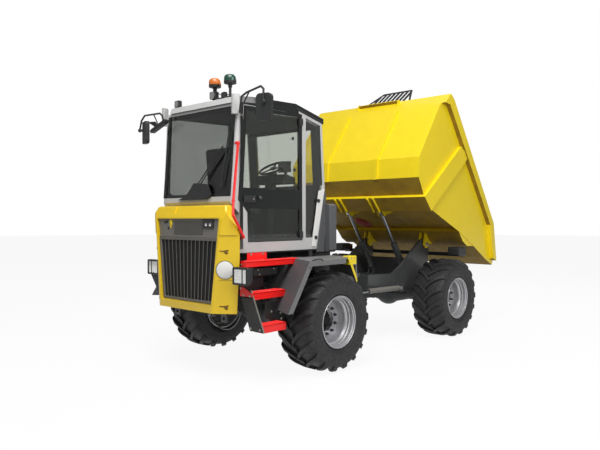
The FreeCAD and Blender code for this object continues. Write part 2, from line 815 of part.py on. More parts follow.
def mirrors():
    """Mirror heads on bent tubes, one on the left and two on the right."""
    top = [(1040, 690, 2875), (1072, 760, 3035), (1095, 860, 3058), (1118, 1097, 3086)]
    left_arm = pipe(top + [(1130, 1149, 3050), (1134, 1146, 2925)], 11)
    brace = rod((1045, 700, 2890), (1098, 905, 3062), 8)
    left_head = rounded_head(1078, 1124, 1043, 1223, 2742, 3012, 44)
    left_head = turned(left_head, (1101, 1133, 0), (0, 0, 1), 15)
    left_knob = rod((1100, 1146, 2925), (1150, 1146, 2925), 17)
    bends = [(1040, -635, 2910), (1104, -611, 2918), (1104, -614, 2986), (1105, -663, 3018)]
    bends += [(1107, -979, 3026), (1108, -1049, 2968), (1108, -1087, 2850)]
    right_arm = pipe(bends, 11)
    right_brace = rod((1106, -793, 3022), (1103, -702, 2925), 7)
    right_bar = rod((1107, -1058, 2942), (1105, -628, 2920), 8)
    right_head = rounded_head(1082, 1128, -1052, -862, 2676, 2950, 40)
    right_head = turned(right_head, (1105, -957, 0), (0, 0, 1), -20)
    right_knob = rod((1114, -1103, 2852), (1080, -1036, 2852), 16)
    wide = rounded_head(1096, 1146, -815, -485, 2768, 2948, 44)
    wide = turned(wide, (0, -650, 2858), (1, 0, 0), 19)
    wide_arm = rod((1106, -757, 2928), (1118, -742, 2836), 9)
    tools = [cab_block(0), roof_slab()] + both_sides(mirror_mount())
    left = cut(join([left_arm, brace, left_knob, left_head]), tools)
    right = [right_arm, right_brace, right_bar, right_knob, right_head, wide_arm, wide]
    right = cut(join(right), tools)
    return Part.makeCompound([left.Solids[0], right.Solids[0]])


BEACON_X = 950.0
BEACON_RADIUS = 70.0
AMBER_BEACON = (181.0, 254.0)
GREEN_BEACON = (440.0, 259.0)
SMALL_LAMP_Y = -509.0


def beacon(place):
    """A domed beacon on its rubber foot and stem, its place across and its height given."""
    x = BEACON_X
    y, height = place
    top = ROOF_TOP_Z + height
    shape = rod((x, y, top - 108), (x, y, top), BEACON_RADIUS)
    edges = [e for e in shape.Edges if abs(e.BoundBox.ZMin - top) < 1 and e.BoundBox.ZLength < 1]
    shape = shape.makeFillet(26, edges)
    return [shape, rod((x, y, ROOF_TOP_Z), (x, y, top - 100), 17)]


def beacons():
    """Two beacons with a work lamp and a rail, and a small roof lamp."""
    x = BEACON_X
    z = ROOF_TOP_Z
    amber = AMBER_BEACON[0]
    green = GREEN_BEACON[0]
    pieces = [rod((x, amber - 31, z + 14), (x, green + 75, z + 14), 13)]
    pieces += beacon(AMBER_BEACON)
    pieces += beacon(GREEN_BEACON)
    pieces.append(box(x - 35, x + 35, amber - 69, amber + 35, z + 18, z + 107))
    pieces.append(box(x - 20, x + 20, green - 140, green - 60, z, z + 81))
    y = SMALL_LAMP_Y
    small = rod((x, y + 4, z), (x, y + 4, z + 11), 10)
    head = box(x - 30, x + 30, y - 47, y + 47, z + 6, z + 93)
    return Part.makeCompound([join(pieces), join([small, head])])


def handrail():
    beside_cab = CAB_HALF + 32
    beside_hood = HOOD_HALF + 22
    points = [(1060, beside_cab, 2560), (1131, beside_cab, 1925)]
    points += [(1190, beside_hood, 1785), (1040, beside_hood, 1553)]
    top = rod(points[0], (1040, CAB_HALF - 30, 2560), 14)
    foot = rod(points[-1], (985, CAB_HALF, 1540), 14)
    return join([pipe(points, 14), top, foot])


def rear_covers():
    """Grey covers behind the cab with the air cleaner's rounded box."""
    side = [(-265, CAB_FLOOR_Z), (-420, 2116), (-440, 2116), (-470, 2040), (-430, 1330), (-270, 1330)]
    panel = prism_y(side, -640, 640)
    left = box(-575, -440, 380, 720, 1330, 1935)
    left = left.makeFillet(45, [e for e in left.Edges if abs(e.Length - 135) < 1])
    base = box(-600, -270, -600, 600, 1085, 1328)
    return join([panel, left, base])


# ---------------------------------------------------------------- centre joint


def centre_joint():
    """Roll flange, neck, upright pin and the steering arm."""
    face = -1058 - JOINT_GAP
    pieces = [rod((face, 0, ROLL_Z), (face - 36, 0, ROLL_Z), 195)]
    low, high = PIVOT_PIN_Z
    pieces.append(box(PIVOT_X, face - 30, -80, 80, low + 15, high - 15))
    pieces.append(rod((PIVOT_X, 0, low), (PIVOT_X, 0, high), 88))
    pieces.append(rod((PIVOT_X, 0, low - 95), (PIVOT_X, 0, high + 95), 38))
    for z in (STEER_Z - 62, STEER_Z + 32):
        x, y = STEER_EYE
        arm = [(-1096, 60), (x - 60, 150), (x - 55, y), (x + 34, y), (-1066, 60)]
        pieces.append(prism_z(arm, z, z + 30))
        pieces.append(rod((x, y, z), (x, y, z + 30), 55))
    return join(pieces)


# ---------------------------------------------------------------- rear unit

FRAME_OUTER = 555.0
FRAME_PLATE = 40.0
NOSE_X = PIVOT_X - 310.0
NOSE_HALF = 440.0
YOKE_PLATE = 50.0
ARM_BEND_X = REAR_AXLE_X + 720.0
LAMP_BAR_X = REAR_AXLE_X - 375.0
ARM_SIDE = [
    (NOSE_X, 945),
    (ARM_BEND_X, 945),
    (REAR_AXLE_X + 480, 1055),
    (REAR_AXLE_X + 160, 1275),
    (TIP_X + 110, 1412),
    (TIP_X + 30, TIP_Z + 80),
    (TIP_X - 30, TIP_Z + 80),
    (TIP_X - 80, TIP_Z + 45),
    (TIP_X - 100, TIP_Z - 20),
    (REAR_AXLE_X - 310, 1240),
    (REAR_AXLE_X - 280, 1100),
    (REAR_AXLE_X - 250, 760),
    (REAR_AXLE_X - 170, 670),
    (REAR_AXLE_X + 600, 670),
    (NOSE_X - 100, 780),
    (NOSE_X, 780),
]


def rear_frame():
    """Side plates rising to the skip's arms, yoke ears, belly and cross boxes."""
    inside = FRAME_OUTER - FRAME_PLATE
    plate = prism_y(ARM_SIDE, inside, FRAME_OUTER)
    room = plate.BoundBox
    straight = plate.common(box(room.XMin, ARM_BEND_X, inside, FRAME_OUTER, room.ZMin, room.ZMax))
    nose = [(ARM_BEND_X, FRAME_OUTER), (NOSE_X, NOSE_HALF), (NOSE_X, NOSE_HALF - FRAME_PLATE)]
    nose.append((ARM_BEND_X, inside))
    front = prism_z(nose, room.ZMin, room.ZMax).common(prism_y(ARM_SIDE, 0, FRAME_OUTER))
    bore = rod((TIP_X, inside - 20, TIP_Z), (TIP_X, FRAME_OUTER + 20, TIP_Z), 30 + PIN_GAP)
    side = join([straight, front]).cut(bore)
    pieces = both_sides(side)
    wall = NOSE_X - 60
    pieces.append(box(wall, NOSE_X + 10, -NOSE_HALF, NOSE_HALF, 620, 940))
    low_ear = PIVOT_PIN_Z[0] - JOINT_GAP - YOKE_PLATE
    high_ear = PIVOT_PIN_Z[1] + JOINT_GAP
    for z in (high_ear, low_ear):
        top = z + YOKE_PLATE
        ear = prism_z([(NOSE_X, 300), (NOSE_X, -300), (PIVOT_X, -115), (PIVOT_X, 115)], z, top)
        ear = ear.fuse(rod((PIVOT_X, 0, z), (PIVOT_X, 0, top), 115))
        ear = ear.cut(rod((PIVOT_X, 0, z - 5), (PIVOT_X, 0, top + 5), 38 + PIN_GAP))
        pieces.append(ear)
    pieces.append(box(wall, NOSE_X, -300, 300, low_ear, 700))
    back = REAR_AXLE_X + 270
    belly = [(wall, 620), (wall, 650), (back, 739), (back, 709)]
    pieces.append(prism_y(belly, -inside + 15, inside - 15))
    y, z = REAR_LASHING
    end_box = box(REAR_AXLE_X - 240, REAR_AXLE_X - 180, -520, 520, 760, 1115)
    for eye in both_sides(rod((REAR_AXLE_X - 260, y, z), (REAR_AXLE_X - 160, y, z), LASHING_RADIUS)):
        end_box = end_box.cut(eye)
    pieces.append(end_box)
    pieces.append(box(REAR_AXLE_X + 250, REAR_AXLE_X + 310, -520, 520, 735, 860))
    pieces.append(box(REAR_AXLE_X - 100, REAR_AXLE_X + 100, -520, 520, 790, 850))
    for y in (CYLINDER_Y, -CYLINDER_Y):
        for offset in (-54, 32):
            x, z = BASE_PIN
            lug_side = [(x - 80, 850), (x + 80, 850), (x + 38, z), (x - 38, z)]
            pieces.append(prism_y(lug_side, y + offset, y + offset + 22))
            pieces.append(rod((x, y + offset, z), (x, y + offset + 22, z), 38))
    x, y = STEER_BASE
    for z in (STEER_Z - 58, STEER_Z + 32):
        pieces.append(box(x - 50, x + 38, FRAME_OUTER - 10, y + 40, z, z + 26))
    return join(pieces)


def light_bar():
    """Bar behind the frame with a lamp box at each end."""
    back = LAMP_BAR_X + 60
    bar = box(LAMP_BAR_X, back, -1140, 1140, 1170, 1225)
    pieces = [bar]
    for side in (1, -1):
        y0, y1 = sorted((side * 1000, side * 1200))
        lamp = box(back, back + 225, y0, y1, 1190, 1320)
        pieces.append(lamp.makeFillet(20, lamp.Edges))
    return join(pieces)


# ---------------------------------------------------------------- skip


def lifted(point, distance):
    return point[0] + RIM_UP[0] * distance, point[1] + RIM_UP[1] * distance


def skip_body():
    """Open-topped skip of plate with ribs, rim, cross beams and hinge lugs."""
    top, band, wall, knee, beam, toe, waist, heel, tail, lip = SKIP_SIDE[:10]
    rear_low, rear_high, front_high = SKIP_SIDE[10:]
    solid = prism_y(SKIP_SIDE, -SKIP_HALF, SKIP_HALF)
    toe_up = lifted(toe, FLOOR_LIFT)
    waist_up = lifted(waist, FLOOR_LIFT)
    slope = ((lip[0] - tail[0]), (lip[1] - tail[1]))
    end = (lip[0] + slope[0], lip[1] + slope[1])
    cavity = [lifted(top, 900), top, band, wall, knee, beam, toe_up, waist_up, tail]
    cavity += [end, lifted(end, 1500)]
    inner = SKIP_HALF - SKIP_PLATE
    solid = solid.cut(prism_y(inset(cavity, SKIP_PLATE), -inner, inner))
    below = [toe, toe_up, waist_up, tail, (tail[0] + 100, tail[1] - 300), (toe[0], toe[1] - 500)]
    solid = solid.cut(prism_y(below, -inner, inner))
    pieces = [solid]
    bulge = [waist, (TIP_X - 95, TIP_Z + 55), (TIP_X - 230, TIP_Z - 20), heel]
    above = [(waist[0] + 60, waist[1] + 100), waist, heel, (heel[0], heel[1] + 100)]
    bulge = prism_y(bulge, -inner - 5, inner + 5)
    pieces.append(bulge.cut(prism_y(above, -SKIP_HALF, SKIP_HALF)))
    sloped = [lifted(waist, -1), lifted(waist, FLOOR_LIFT + 5), lifted(heel, 40), lifted(heel, -1)]
    underside = prism_y(sloped, -inner - 5, inner + 5)
    pieces.append(underside.common(prism_y([waist, waist_up, tail, heel], -inner - 5, inner + 5)))
    reach = SKIP_HALF + 45
    beam_side = [beam, (beam[0] + 45, beam[1] - 32), (toe[0] + 40, toe[1] - 36), toe]
    pieces.append(prism_y(beam_side, -reach, reach))
    rib = [(beam[0] + 30, beam[1] - 22), (toe[0] + 30, toe[1] - 22)]
    rib += [lifted(toe, 1330), lifted(beam, 1250)]
    for y0 in (SKIP_HALF - 2, -SKIP_HALF - 45):
        pieces.append(prism_y(rib, y0, y0 + 47))
    rim = [top, front_high, rear_high, rear_low, (rear_low[0] + 110, rear_low[1] + 40)]
    rim += [(rear_high[0] + 125, rear_high[1] - 25), (front_high[0] + 125, front_high[1] - 90)]
    rim.append((band[0] - 60, band[1] + 55))
    for y0 in (SKIP_HALF - 2, -SKIP_HALF - 65):
        pieces.append(prism_y(rim, y0, y0 + 67))
    for y in (460, -460):
        stiff = [band, wall, knee, (knee[0] + 24, knee[1] - 6), (wall[0] + 25, wall[1] + 6)]
        stiff.append((band[0] + 14, band[1] + 20))
        pieces.append(prism_y(stiff, y - 32, y + 32))
    pieces += tarp_bracket(top)
    for y in (CYLINDER_Y, -CYLINDER_Y):
        for offset in (-62, 38):
            face_rib = [lifted(beam, 2), (beam[0] + 75, beam[1] - 50), (toe[0] + 66, toe[1] - 60), toe]
            pieces.append(prism_y(face_rib, y + offset, y + offset + 24))
            ear = [
                (toe[0] + 20, toe[1] - 30),
                lifted(toe, FLOOR_LIFT + 12),
                lifted((toe[0] - 240, toe[1] - 95), FLOOR_LIFT + 12),
                (ROD_EYE[0] - 52, ROD_EYE[1] - 30),
                (ROD_EYE[0] + 12, ROD_EYE[1] - 58),
            ]
            pieces.append(prism_y(ear, y + offset, y + offset + 24))
    outside = FRAME_OUTER + 10
    inside = FRAME_OUTER - FRAME_PLATE - 10
    lug_side = [(TIP_X - 215, TIP_Z - 5), (TIP_X + 15, TIP_Z + 185)]
    lug_side += [(TIP_X + 62, TIP_Z), (TIP_X - 62, TIP_Z)]
    for y in (outside, -outside - 26, inside - 26, -inside):
        lug = prism_y(lug_side, y, y + 26)
        lug = lug.fuse(rod((TIP_X, y, TIP_Z), (TIP_X, y + 26, TIP_Z), 62))
        pieces.append(lug)
    for side in (1, -1):
        start = side * (inside - 25)
        end = side * (outside + 35)
        pieces.append(rod((TIP_X, start, TIP_Z), (TIP_X, end, TIP_Z), 30))
    return join(pieces)


def tarp_bracket(top):
    """Shelf with two ears on the front wall's upper band."""
    across_face = (0.673, 0.740)
    down_face = (0.740, -0.673)

    def spot(down, out):
        x = top[0] + down_face[0] * down + across_face[0] * out
        return x, top[1] + down_face[1] * down + across_face[1] * out

    shelf = [spot(40, -6), spot(40, 50), spot(52, 50), spot(52, -6)]
    ear = [spot(20, -6), spot(20, 50), spot(60, 50), spot(125, 14), spot(125, -6)]
    pieces = [prism_y(shelf, -370, 370)]
    for y0 in (-382, 370):
        pieces.append(prism_y(ear, y0, y0 + 12))
    return pieces


GUARD_SLATS = 8
GUARD_PITCH = 82.0


def skip_guard():
    """Slatted guard that stands on the skip's end wall."""
    base = (REAR_AXLE_X + 150.0, 3505.0)
    height = 525.0
    thickness = 14.0
    along = (RIM_UP[1], -RIM_UP[0])
    outline = [(-480, 0), (480, 0), (275, height), (-275, height)]

    def plate(shape):
        face_points = [V(*((base[0] + RIM_UP[0] * h, y, base[1] + RIM_UP[1] * h))) for y, h in shape]
        face = Part.Face(Part.makePolygon(face_points + face_points[:1]))
        return face.extrude(V(along[0] * thickness, 0, along[1] * thickness))

    frame = plate(outline).cut(plate(inset(outline, 30)))
    pieces = [frame]
    for i in range(GUARD_SLATS):
        y = (i - (GUARD_SLATS - 1) / 2) * GUARD_PITCH
        top_z = height - 8 if abs(y) < 255 else (480 - abs(y)) / 205 * height - 30
        pieces.append(plate([(y - 19, 8), (y + 19, 8), (y + 19, top_z), (y - 19, top_z)]))
    return join(pieces)


# ---------------------------------------------------------------- cylinders


def along_line(start, end, distance):
    length = math.dist(start, end)
    return tuple(a + (b - a) * distance / length for a, b in zip(start, end))


def cylinder_pair(start, end, barrel, radius, rod_radius, eye, axis):
    """Barrel and rod between two pins, the eyes about the given axis."""
    length = math.dist(start, end)
    body = rod(along_line(start, end, eye + 20), along_line(start, end, barrel), radius)
    neck = rod(along_line(start, end, eye - 14), along_line(start, end, eye + 24), EYE_HALF - 1)
    base = rod(shift(start, axis, -EYE_HALF), shift(start, axis, EYE_HALF), eye)
    tube = join([body, neck, base])
    bore = rod(along_line(start, end, eye + 50), along_line(start, end, barrel + 5), rod_radius + PIN_GAP)
    tube = tube.cut(bore)
    bar = rod(along_line(start, end, barrel - 38), along_line(start, end, length - eye + 8), rod_radius)
    tip = rod(shift(end, axis, -EYE_HALF), shift(end, axis, EYE_HALF), eye)
    return tube, join([bar, tip])


EYE_HALF = 26.0


def shift(point, axis, distance):
    return tuple(p + a * distance for p, a in zip(point, axis))


def tipping_cylinder(y):
    start = (BASE_PIN[0], y, BASE_PIN[1])
    end = (ROD_EYE[0], y, ROD_EYE[1])
    return cylinder_pair(start, end, 535, 50, 24, 44, (0, 1, 0))


def steering_cylinder():
    start = (STEER_BASE[0], STEER_BASE[1], STEER_Z)
    end = (STEER_EYE[0], STEER_EYE[1], STEER_Z)
    return cylinder_pair(start, end, 690, 36, 20, 36, (0, 0, 1))


# ---------------------------------------------------------------- assembly


def all_shapes():
    """Every node by name, in the working frame."""
    shapes = {}
    shapes["front_frame"] = front_frame()
    shapes["front_axle"] = axle(0, (RAIL_Y0, RAIL_Y1, RAIL_Z0))
    shapes["engine_block"] = engine_block()
    shapes["front_fenders"] = front_fenders()
    shapes["steps"] = steps()
    shapes["side_tank"] = side_tank()
    shapes["headlamps"] = lamps()
    shapes["cab_frame"] = cab_frame()
    shapes["cab_roof"] = cab_roof()
    shapes["windscreen"] = windscreen()
    shapes["side_glass"] = side_glass()
    shapes["rear_glass"] = rear_glass()
    shapes["seat"] = seat()
    shapes["console"] = console()
    shapes["steering_wheel"] = steering_wheel()
    shapes["wipers"] = wipers()
    shapes["mirrors"] = mirrors()
    shapes["beacons"] = beacons()
    shapes["handrail"] = handrail()
    shapes["rear_covers"] = rear_covers()
    shapes["hood_shell"] = hood_shell()
    shapes["hood_panel"] = hood_panel()
    shapes["grille"] = grille()
    shapes["door_frame"] = door_frame()
    shapes["door_glass"] = door_glass()
    for name, x, side in (
        ("front_left", 0, 1),
        ("front_right", 0, -1),
        ("rear_left", REAR_AXLE_X, 1),
        ("rear_right", REAR_AXLE_X, -1),
    ):
        tyre, rim = wheel_parts(x, side)
        shapes["tyre_" + name] = tyre
        shapes["rim_" + name] = rim
    shapes["centre_joint"] = centre_joint()
    shapes["rear_frame"] = rear_frame()
    shapes["rear_axle"] = axle(REAR_AXLE_X, (380, 500, 790))
    shapes["light_bar"] = light_bar()
    shapes["skip_body"] = skip_body()
    shapes["skip_guard"] = skip_guard()
    for name, y in (("left", CYLINDER_Y), ("right", -CYLINDER_Y)):
        tube, bar = tipping_cylinder(y)
        shapes["tip_barrel_" + name] = tube
        shapes["tip_rod_" + name] = bar
    tube, bar = steering_cylinder()
    shapes["steer_barrel"] = tube
    shapes["steer_rod"] = bar
    return shapes


def length_middle(shapes):
    """The X half way between the machine's two ends."""
    bounds = [shape.BoundBox for shape in shapes.values()]
    return (min(b.XMin for b in bounds) + max(b.XMax for b in bounds)) / 2


def main():
    os.makedirs("parts", exist_ok=True)
    shapes = all_shapes()
    middle = length_middle(shapes)
    for name, shape in shapes.items():
        shape.translate(V(-middle, 0, 0))
        shape.exportStep("parts/" + name + ".step")


if __name__ == "__main__":
    main()
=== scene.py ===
"""Looks of the articulated site dumper: its finishes, detailed pieces, studio and camera.

Sizes are millimetres from the cab-end axle: X towards the cab end, Y to the machine's left,
Z up from the ground. The function `at` turns them into the frame's metres.
"""

import logging
import math
from collections.abc import Callable, Iterable, Iterator, Sequence
from contextlib import contextmanager
from dataclasses import dataclass
from enum import Enum

import bpy
from mathutils import Matrix, Vector


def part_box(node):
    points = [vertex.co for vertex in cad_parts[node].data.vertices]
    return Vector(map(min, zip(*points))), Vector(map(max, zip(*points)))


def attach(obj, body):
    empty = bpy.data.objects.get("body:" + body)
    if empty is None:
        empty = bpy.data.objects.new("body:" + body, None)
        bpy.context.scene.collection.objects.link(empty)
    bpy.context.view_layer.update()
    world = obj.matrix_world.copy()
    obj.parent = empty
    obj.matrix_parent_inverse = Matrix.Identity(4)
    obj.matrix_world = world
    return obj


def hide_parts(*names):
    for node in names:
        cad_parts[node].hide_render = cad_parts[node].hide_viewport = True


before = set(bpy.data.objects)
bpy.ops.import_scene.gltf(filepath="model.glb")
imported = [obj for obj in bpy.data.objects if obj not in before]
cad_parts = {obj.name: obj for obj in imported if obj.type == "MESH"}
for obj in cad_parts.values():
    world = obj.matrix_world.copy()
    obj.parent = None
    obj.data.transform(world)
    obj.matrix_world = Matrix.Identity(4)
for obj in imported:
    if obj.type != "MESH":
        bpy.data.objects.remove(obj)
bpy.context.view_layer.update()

LOG = logging.getLogger("dumper")
MM = 0.001
Point = tuple[float, float, float]
Pair = tuple[float, float]
Piece = bpy.types.Object
Face = bpy.types.MeshPolygon
Tree = bpy.types.NodeTree
Socket = bpy.types.NodeSocket
AHEAD: Point = (1, 0, 0)
LEFT: Point = (0, 1, 0)
UP: Point = (0, 0, 1)
SIDES = (1, -1)
# Vertices nearer than this, in metres, are one: where a turned outline closes, and where
# the triangles of a CAD node meet.
SEAM_GAP = 0.00005
TRIANGLE_GAP = 0.00002


def axle_origin() -> float:
    """Return the X of the cab-end axle in the frame, in metres."""
    low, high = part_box("tyre_front_left")
    return (low.x + high.x) / 2


ORIGIN_X = axle_origin()


def at(x: float, y: float, z: float) -> Vector:
    """Turn millimetres from the cab-end axle into a point of the frame.

    Args:
        x: Distance ahead of the cab-end axle.
        y: Distance to the machine's left.
        z: Height above the ground.

    Returns:
        The point in metres.
    """
    return Vector((x * MM + ORIGIN_X, y * MM, z * MM))


def on_x(x: float, outline: Sequence[Pair]) -> list[Point]:
    """Return an outline's Y and Z pairs as corners at one X."""
    return [(x, y, z) for y, z in outline]


def on_y(y: float, outline: Sequence[Pair]) -> list[Point]:
    """Return an outline's X and Z pairs as corners at one Y."""
    return [(x, y, z) for x, z in outline]


# ------------------------------------------------------------------ finishes


def linear(hex_colour: str) -> tuple[float, float, float, float]:
    """Turn an sRGB hex colour into linear values.

    Args:
        hex_colour: Six hex digits after a hash sign.

    Returns:
        Red, green and blue as linear numbers, and a full alpha.
    """
    values = []
    for start in (1, 3, 5):
        level = int(hex_colour[start : start + 2], 16) / 255
        values.append(level / 12.92 if level <= 0.04045 else ((level + 0.055) / 1.055) ** 2.4)
    return (*values, 1.0)


def add_node(tree: Tree, kind: str, inputs: dict | None = None, **settings) -> bpy.types.Node:
    """Add a node with its settings, values and links.

    Args:
        tree: The node tree that takes the node.
        kind: Blender's name for the node type.
        inputs: Socket names or numbers with a value, or with an output to link.
        **settings: Properties of the node itself.

    Returns:
        The new node.
    """
    made = tree.nodes.new(kind)
    for key, value in settings.items():
        setattr(made, key, value)
    for key, value in (inputs or {}).items():
        socket = made.inputs[key]
        if isinstance(value, Socket):
            tree.links.new(value, socket)
        else:
            socket.default_value = value
    return made


def per_metre(size_mm: float) -> float:
    """Return a pattern's scale for a feature of the given size in millimetres."""
    return 1000.0 / size_mm


def blank_material(name: str) -> bpy.types.Material:
    """Return a new material whose node tree is empty."""
    material = bpy.data.materials.new(name)
    material.use_nodes = True
    material.node_tree.nodes.clear()
    return material


def patches(tree: Tree, noise: dict, span: Pair, result: Pair) -> Socket:
    """Turn a noise pattern into soft patches between two values.

    Args:
        tree: The material's nodes.
        noise: Inputs of the noise pattern.
        span: Noise levels where the patches start and are at their strongest.
        result: The values at those two levels.

    Returns:
        The value's socket.
    """
    pattern = add_node(tree, "ShaderNodeTexNoise", noise)
    ends = {"From Min": span[0], "From Max": span[1], "To Min": result[0], "To Max": result[1]}
    value = add_node(tree, "ShaderNodeMapRange", {"Value": pattern.outputs["Fac"], **ends})
    return value.outputs["Result"]


@dataclass(frozen=True)
class Finish:
    """A surface with a mottled colour, an uneven gloss and a fine relief.

    Attributes:
        name: Material and process, in plain words.
        colour: Main sRGB colour.
        second: Colour of the mottling.
        roughness: Lowest roughness of the surface.
        spread: How much rougher the dullest spots are.
        metallic: 1 for bare metal.
        coat: Weight of a clear coat.
        grain_mm: Size of the relief's bumps.
        depth_mm: Height of the relief.
        patch_mm: Size of the colour patches.
        mottle: Share of the second colour at its strongest.
        specular: Specular level of the shader.
    """

    name: str
    colour: str
    second: str
    roughness: float = 0.4
    spread: float = 0.12
    metallic: float = 0.0
    coat: float = 0.0
    grain_mm: float = 5.0
    depth_mm: float = 0.05
    patch_mm: float = 180.0
    mottle: float = 0.35
    specular: float = 0.5

    def build(self) -> bpy.types.Material:
        """Return the material, made at its first use."""
        known = bpy.data.materials.get(self.name)
        if known:
            return known
        material = blank_material(self.name)
        tree = material.node_tree
        place = add_node(tree, "ShaderNodeTexCoord").outputs["Object"]
        haze = {"Vector": place, "Scale": per_metre(self.patch_mm / 3), "Detail": 4.0}
        ends = (self.roughness, self.roughness + self.spread)
        surface = {
            "Base Color": self.colour_of(tree, place),
            "Normal": self.relief_of(tree, place),
            "Roughness": patches(tree, haze, (0.35, 0.7), ends),
            "Metallic": self.metallic,
            "Coat Weight": self.coat,
            "Coat Roughness": 0.12,
            "Specular IOR Level": self.specular,
        }
        shader = add_node(tree, "ShaderNodeBsdfPrincipled", surface)
        add_node(tree, "ShaderNodeOutputMaterial", {"Surface": shader.outputs["BSDF"]})
        return material

    def colour_of(self, tree: Tree, place: Socket) -> Socket:
        """Mottle the main colour with the second one in soft patches.

        Args:
            tree: The material's nodes.
            place: Object coordinates.

        Returns:
            The colour's socket.
        """
        noise = {"Vector": place, "Scale": per_metre(self.patch_mm), "Detail": 5.0, "Roughness": 0.6}
        share = patches(tree, noise, (0.42, 0.72), (0.0, self.mottle))
        colours = {0: share, 6: linear(self.colour), 7: linear(self.second)}
        return add_node(tree, "ShaderNodeMix", colours, data_type="RGBA").outputs[2]

    def relief_of(self, tree: Tree, place: Socket) -> Socket:
        """Raise the surface in fine, even bumps.

        Args:
            tree: The material's nodes.
            place: Object coordinates.

        Returns:
            The normal's socket.
        """
        noise = {"Vector": place, "Scale": per_metre(self.grain_mm), "Detail": 2.0}
        height = add_node(tree, "ShaderNodeTexNoise", noise).outputs["Fac"]
        relief = {"Height": height, "Strength": 1.0, "Distance": self.depth_mm * MM}
        return add_node(tree, "ShaderNodeBump", relief).outputs["Normal"]


@dataclass(frozen=True)
class DustyRubber(Finish):
    """Moulded tyre rubber with pale dust in soft specks.

    Attributes:
        dust: Colour of the dust.
        speck_mm: Size of the dust's specks.
    """

    dust: str = "#5A5754"
    speck_mm: float = 22.0

    def colour_of(self, tree: Tree, place: Socket) -> Socket:
        """Lay fine dust over the mottled rubber.

        Args:
            tree: The material's nodes.
            place: Object coordinates.

        Returns:
            The colour's socket.
        """
        base = Finish.colour_of(self, tree, place)
        noise = {"Vector": place, "Scale": per_metre(self.speck_mm), "Detail": 8.0, "Roughness": 0.7}
        share = patches(tree, noise, (0.5, 0.75), (0.0, 0.35))
        colours = {0: share, 6: base, 7: linear(self.dust)}
        return add_node(tree, "ShaderNodeMix", colours, data_type="RGBA").outputs[2]


@dataclass(frozen=True)
class WovenFabric(Finish):
    """Seat cloth or screen with a coarse weave of crossing threads.

    Attributes:
        thread_mm: Spacing of the threads.
        thread_depth_mm: How far they stand up, more than real so that they show.
    """

    thread_mm: float = 7.0
    thread_depth_mm: float = 0.6

    def relief_of(self, tree: Tree, place: Socket) -> Socket:
        """Raise the threads as two crossing waves.

        Args:
            tree: The material's nodes.
            place: Object coordinates.

        Returns:
            The normal's socket.
        """
        # A wave pattern of scale 1 has twenty bands in a metre.
        wave = {"Vector": place, "Scale": per_metre(self.thread_mm) / 20, "Distortion": 0.6}
        threads = {
            index: add_node(tree, "ShaderNodeTexWave", wave, bands_direction=axis).outputs["Fac"]
            for index, axis in enumerate("YZ")
        }
        crossed = add_node(tree, "ShaderNodeMath", threads, operation="MAXIMUM").outputs["Value"]
        relief = {"Height": crossed, "Strength": 0.7, "Distance": self.thread_depth_mm * MM}
        return add_node(tree, "ShaderNodeBump", relief).outputs["Normal"]


@dataclass(frozen=True)
class ClearFinish:
    """Tinted glass with faint haze.

    Attributes:
        name: Material and process, in plain words.
        colour: Tint of what shows through.
        roughness: Roughness of the surface.
        ior: Index of refraction.
        haze: Extra roughness in the dusty patches.
        patch_mm: Size of those patches.
    """

    name: str
    colour: str
    roughness: float = 0.0
    ior: float = 1.45
    haze: float = 0.02
    patch_mm: float = 240.0

    def build(self) -> bpy.types.Material:
        """Return the material, made at its first use."""
        known = bpy.data.materials.get(self.name)
        if known:
            return known
        material = blank_material(self.name)
        tree = material.node_tree
        place = add_node(tree, "ShaderNodeTexCoord").outputs["Object"]
        film = {"Vector": place, "Scale": per_metre(self.patch_mm), "Detail": 3.0}
        ends = (self.roughness, self.roughness + self.haze)
        surface = {
            "Base Color": linear(self.colour),
            "Roughness": patches(tree, film, (0.5, 0.8), ends),
            "IOR": self.ior,
            "Transmission Weight": 1.0,
        }
        shader = add_node(tree, "ShaderNodeBsdfPrincipled", surface)
        add_node(tree, "ShaderNodeOutputMaterial", {"Surface": shader.outputs["BSDF"]})
        return material


# Powder coat over steel: even colour, soft sheen and a faint orange peel.
YELLOW = Finish("Yellow powder coat on steel", "#F4D816", "#EACA10", 0.36, coat=0.2, grain_mm=7)
RED = Finish("Red powder coat on tread plate", "#FE1712", "#EC130E", 0.36, coat=0.2, grain_mm=6)
# Gel coat: glossier than powder coat, with wider ripples. Its warmer, darker yellow is painted shade
# for the hood's faces that turn from the light.
YELLOW_HOOD = Finish(
    "Yellow gel coat on moulded hood", "#F0CA1A", "#E6BC12", 0.3, coat=0.35, grain_mm=9
)
# Underside coat: the same yellow, darkened and browned on the downward faces as painted shade, mottled
# darker in patches.
YELLOW_UNDERSIDE_SHADE = Finish(
    "Mud-browned yellow coat under the skip", "#9C7C16", "#6B530C", 0.6, 0.2,
    grain_mm=5, depth_mm=0.15, mottle=0.6,
)
# Sprayed enamel: pale and smooth, so that its edges catch a soft light.
LIGHT_GREY = Finish("Light grey enamel on cab posts", "#C3C3C2", "#B3B3B2", 0.35, coat=0.2, grain_mm=7)
WHITE = Finish("White enamel on slanted post", "#E9E8E5", "#D8D6D2", 0.35, coat=0.2, grain_mm=7)
# Moulded plastic: a dull grey whose fine grain breaks up the highlights.
MID_GREY = Finish("Grey moulded mudguard plastic", "#727272", "#646465", 0.5, grain_mm=3, depth_mm=0.08)
# Moulded plastic in a darker grey: on the mudguard slope, which turns from the light, the darker grey
# is painted shade.
DARK_GREY_SLOPE_SHADE = Finish(
    "Dusty grey plastic on mudguard slope", "#57585A", "#4B4C4E", 0.55, grain_mm=3, depth_mm=0.08
)
# Enamel on thin sheet: a warm grey with a low sheen.
PANEL_GREY = Finish("Grey enamel on grille frame", "#77746F", "#696662", 0.42, grain_mm=6)
# Thin slats that look darker than their frame because dust and shade sit between them.
BAR_GREY = Finish("Dark grey enamel on grille bars", "#66635E", "#57544F", 0.5, grain_mm=5)
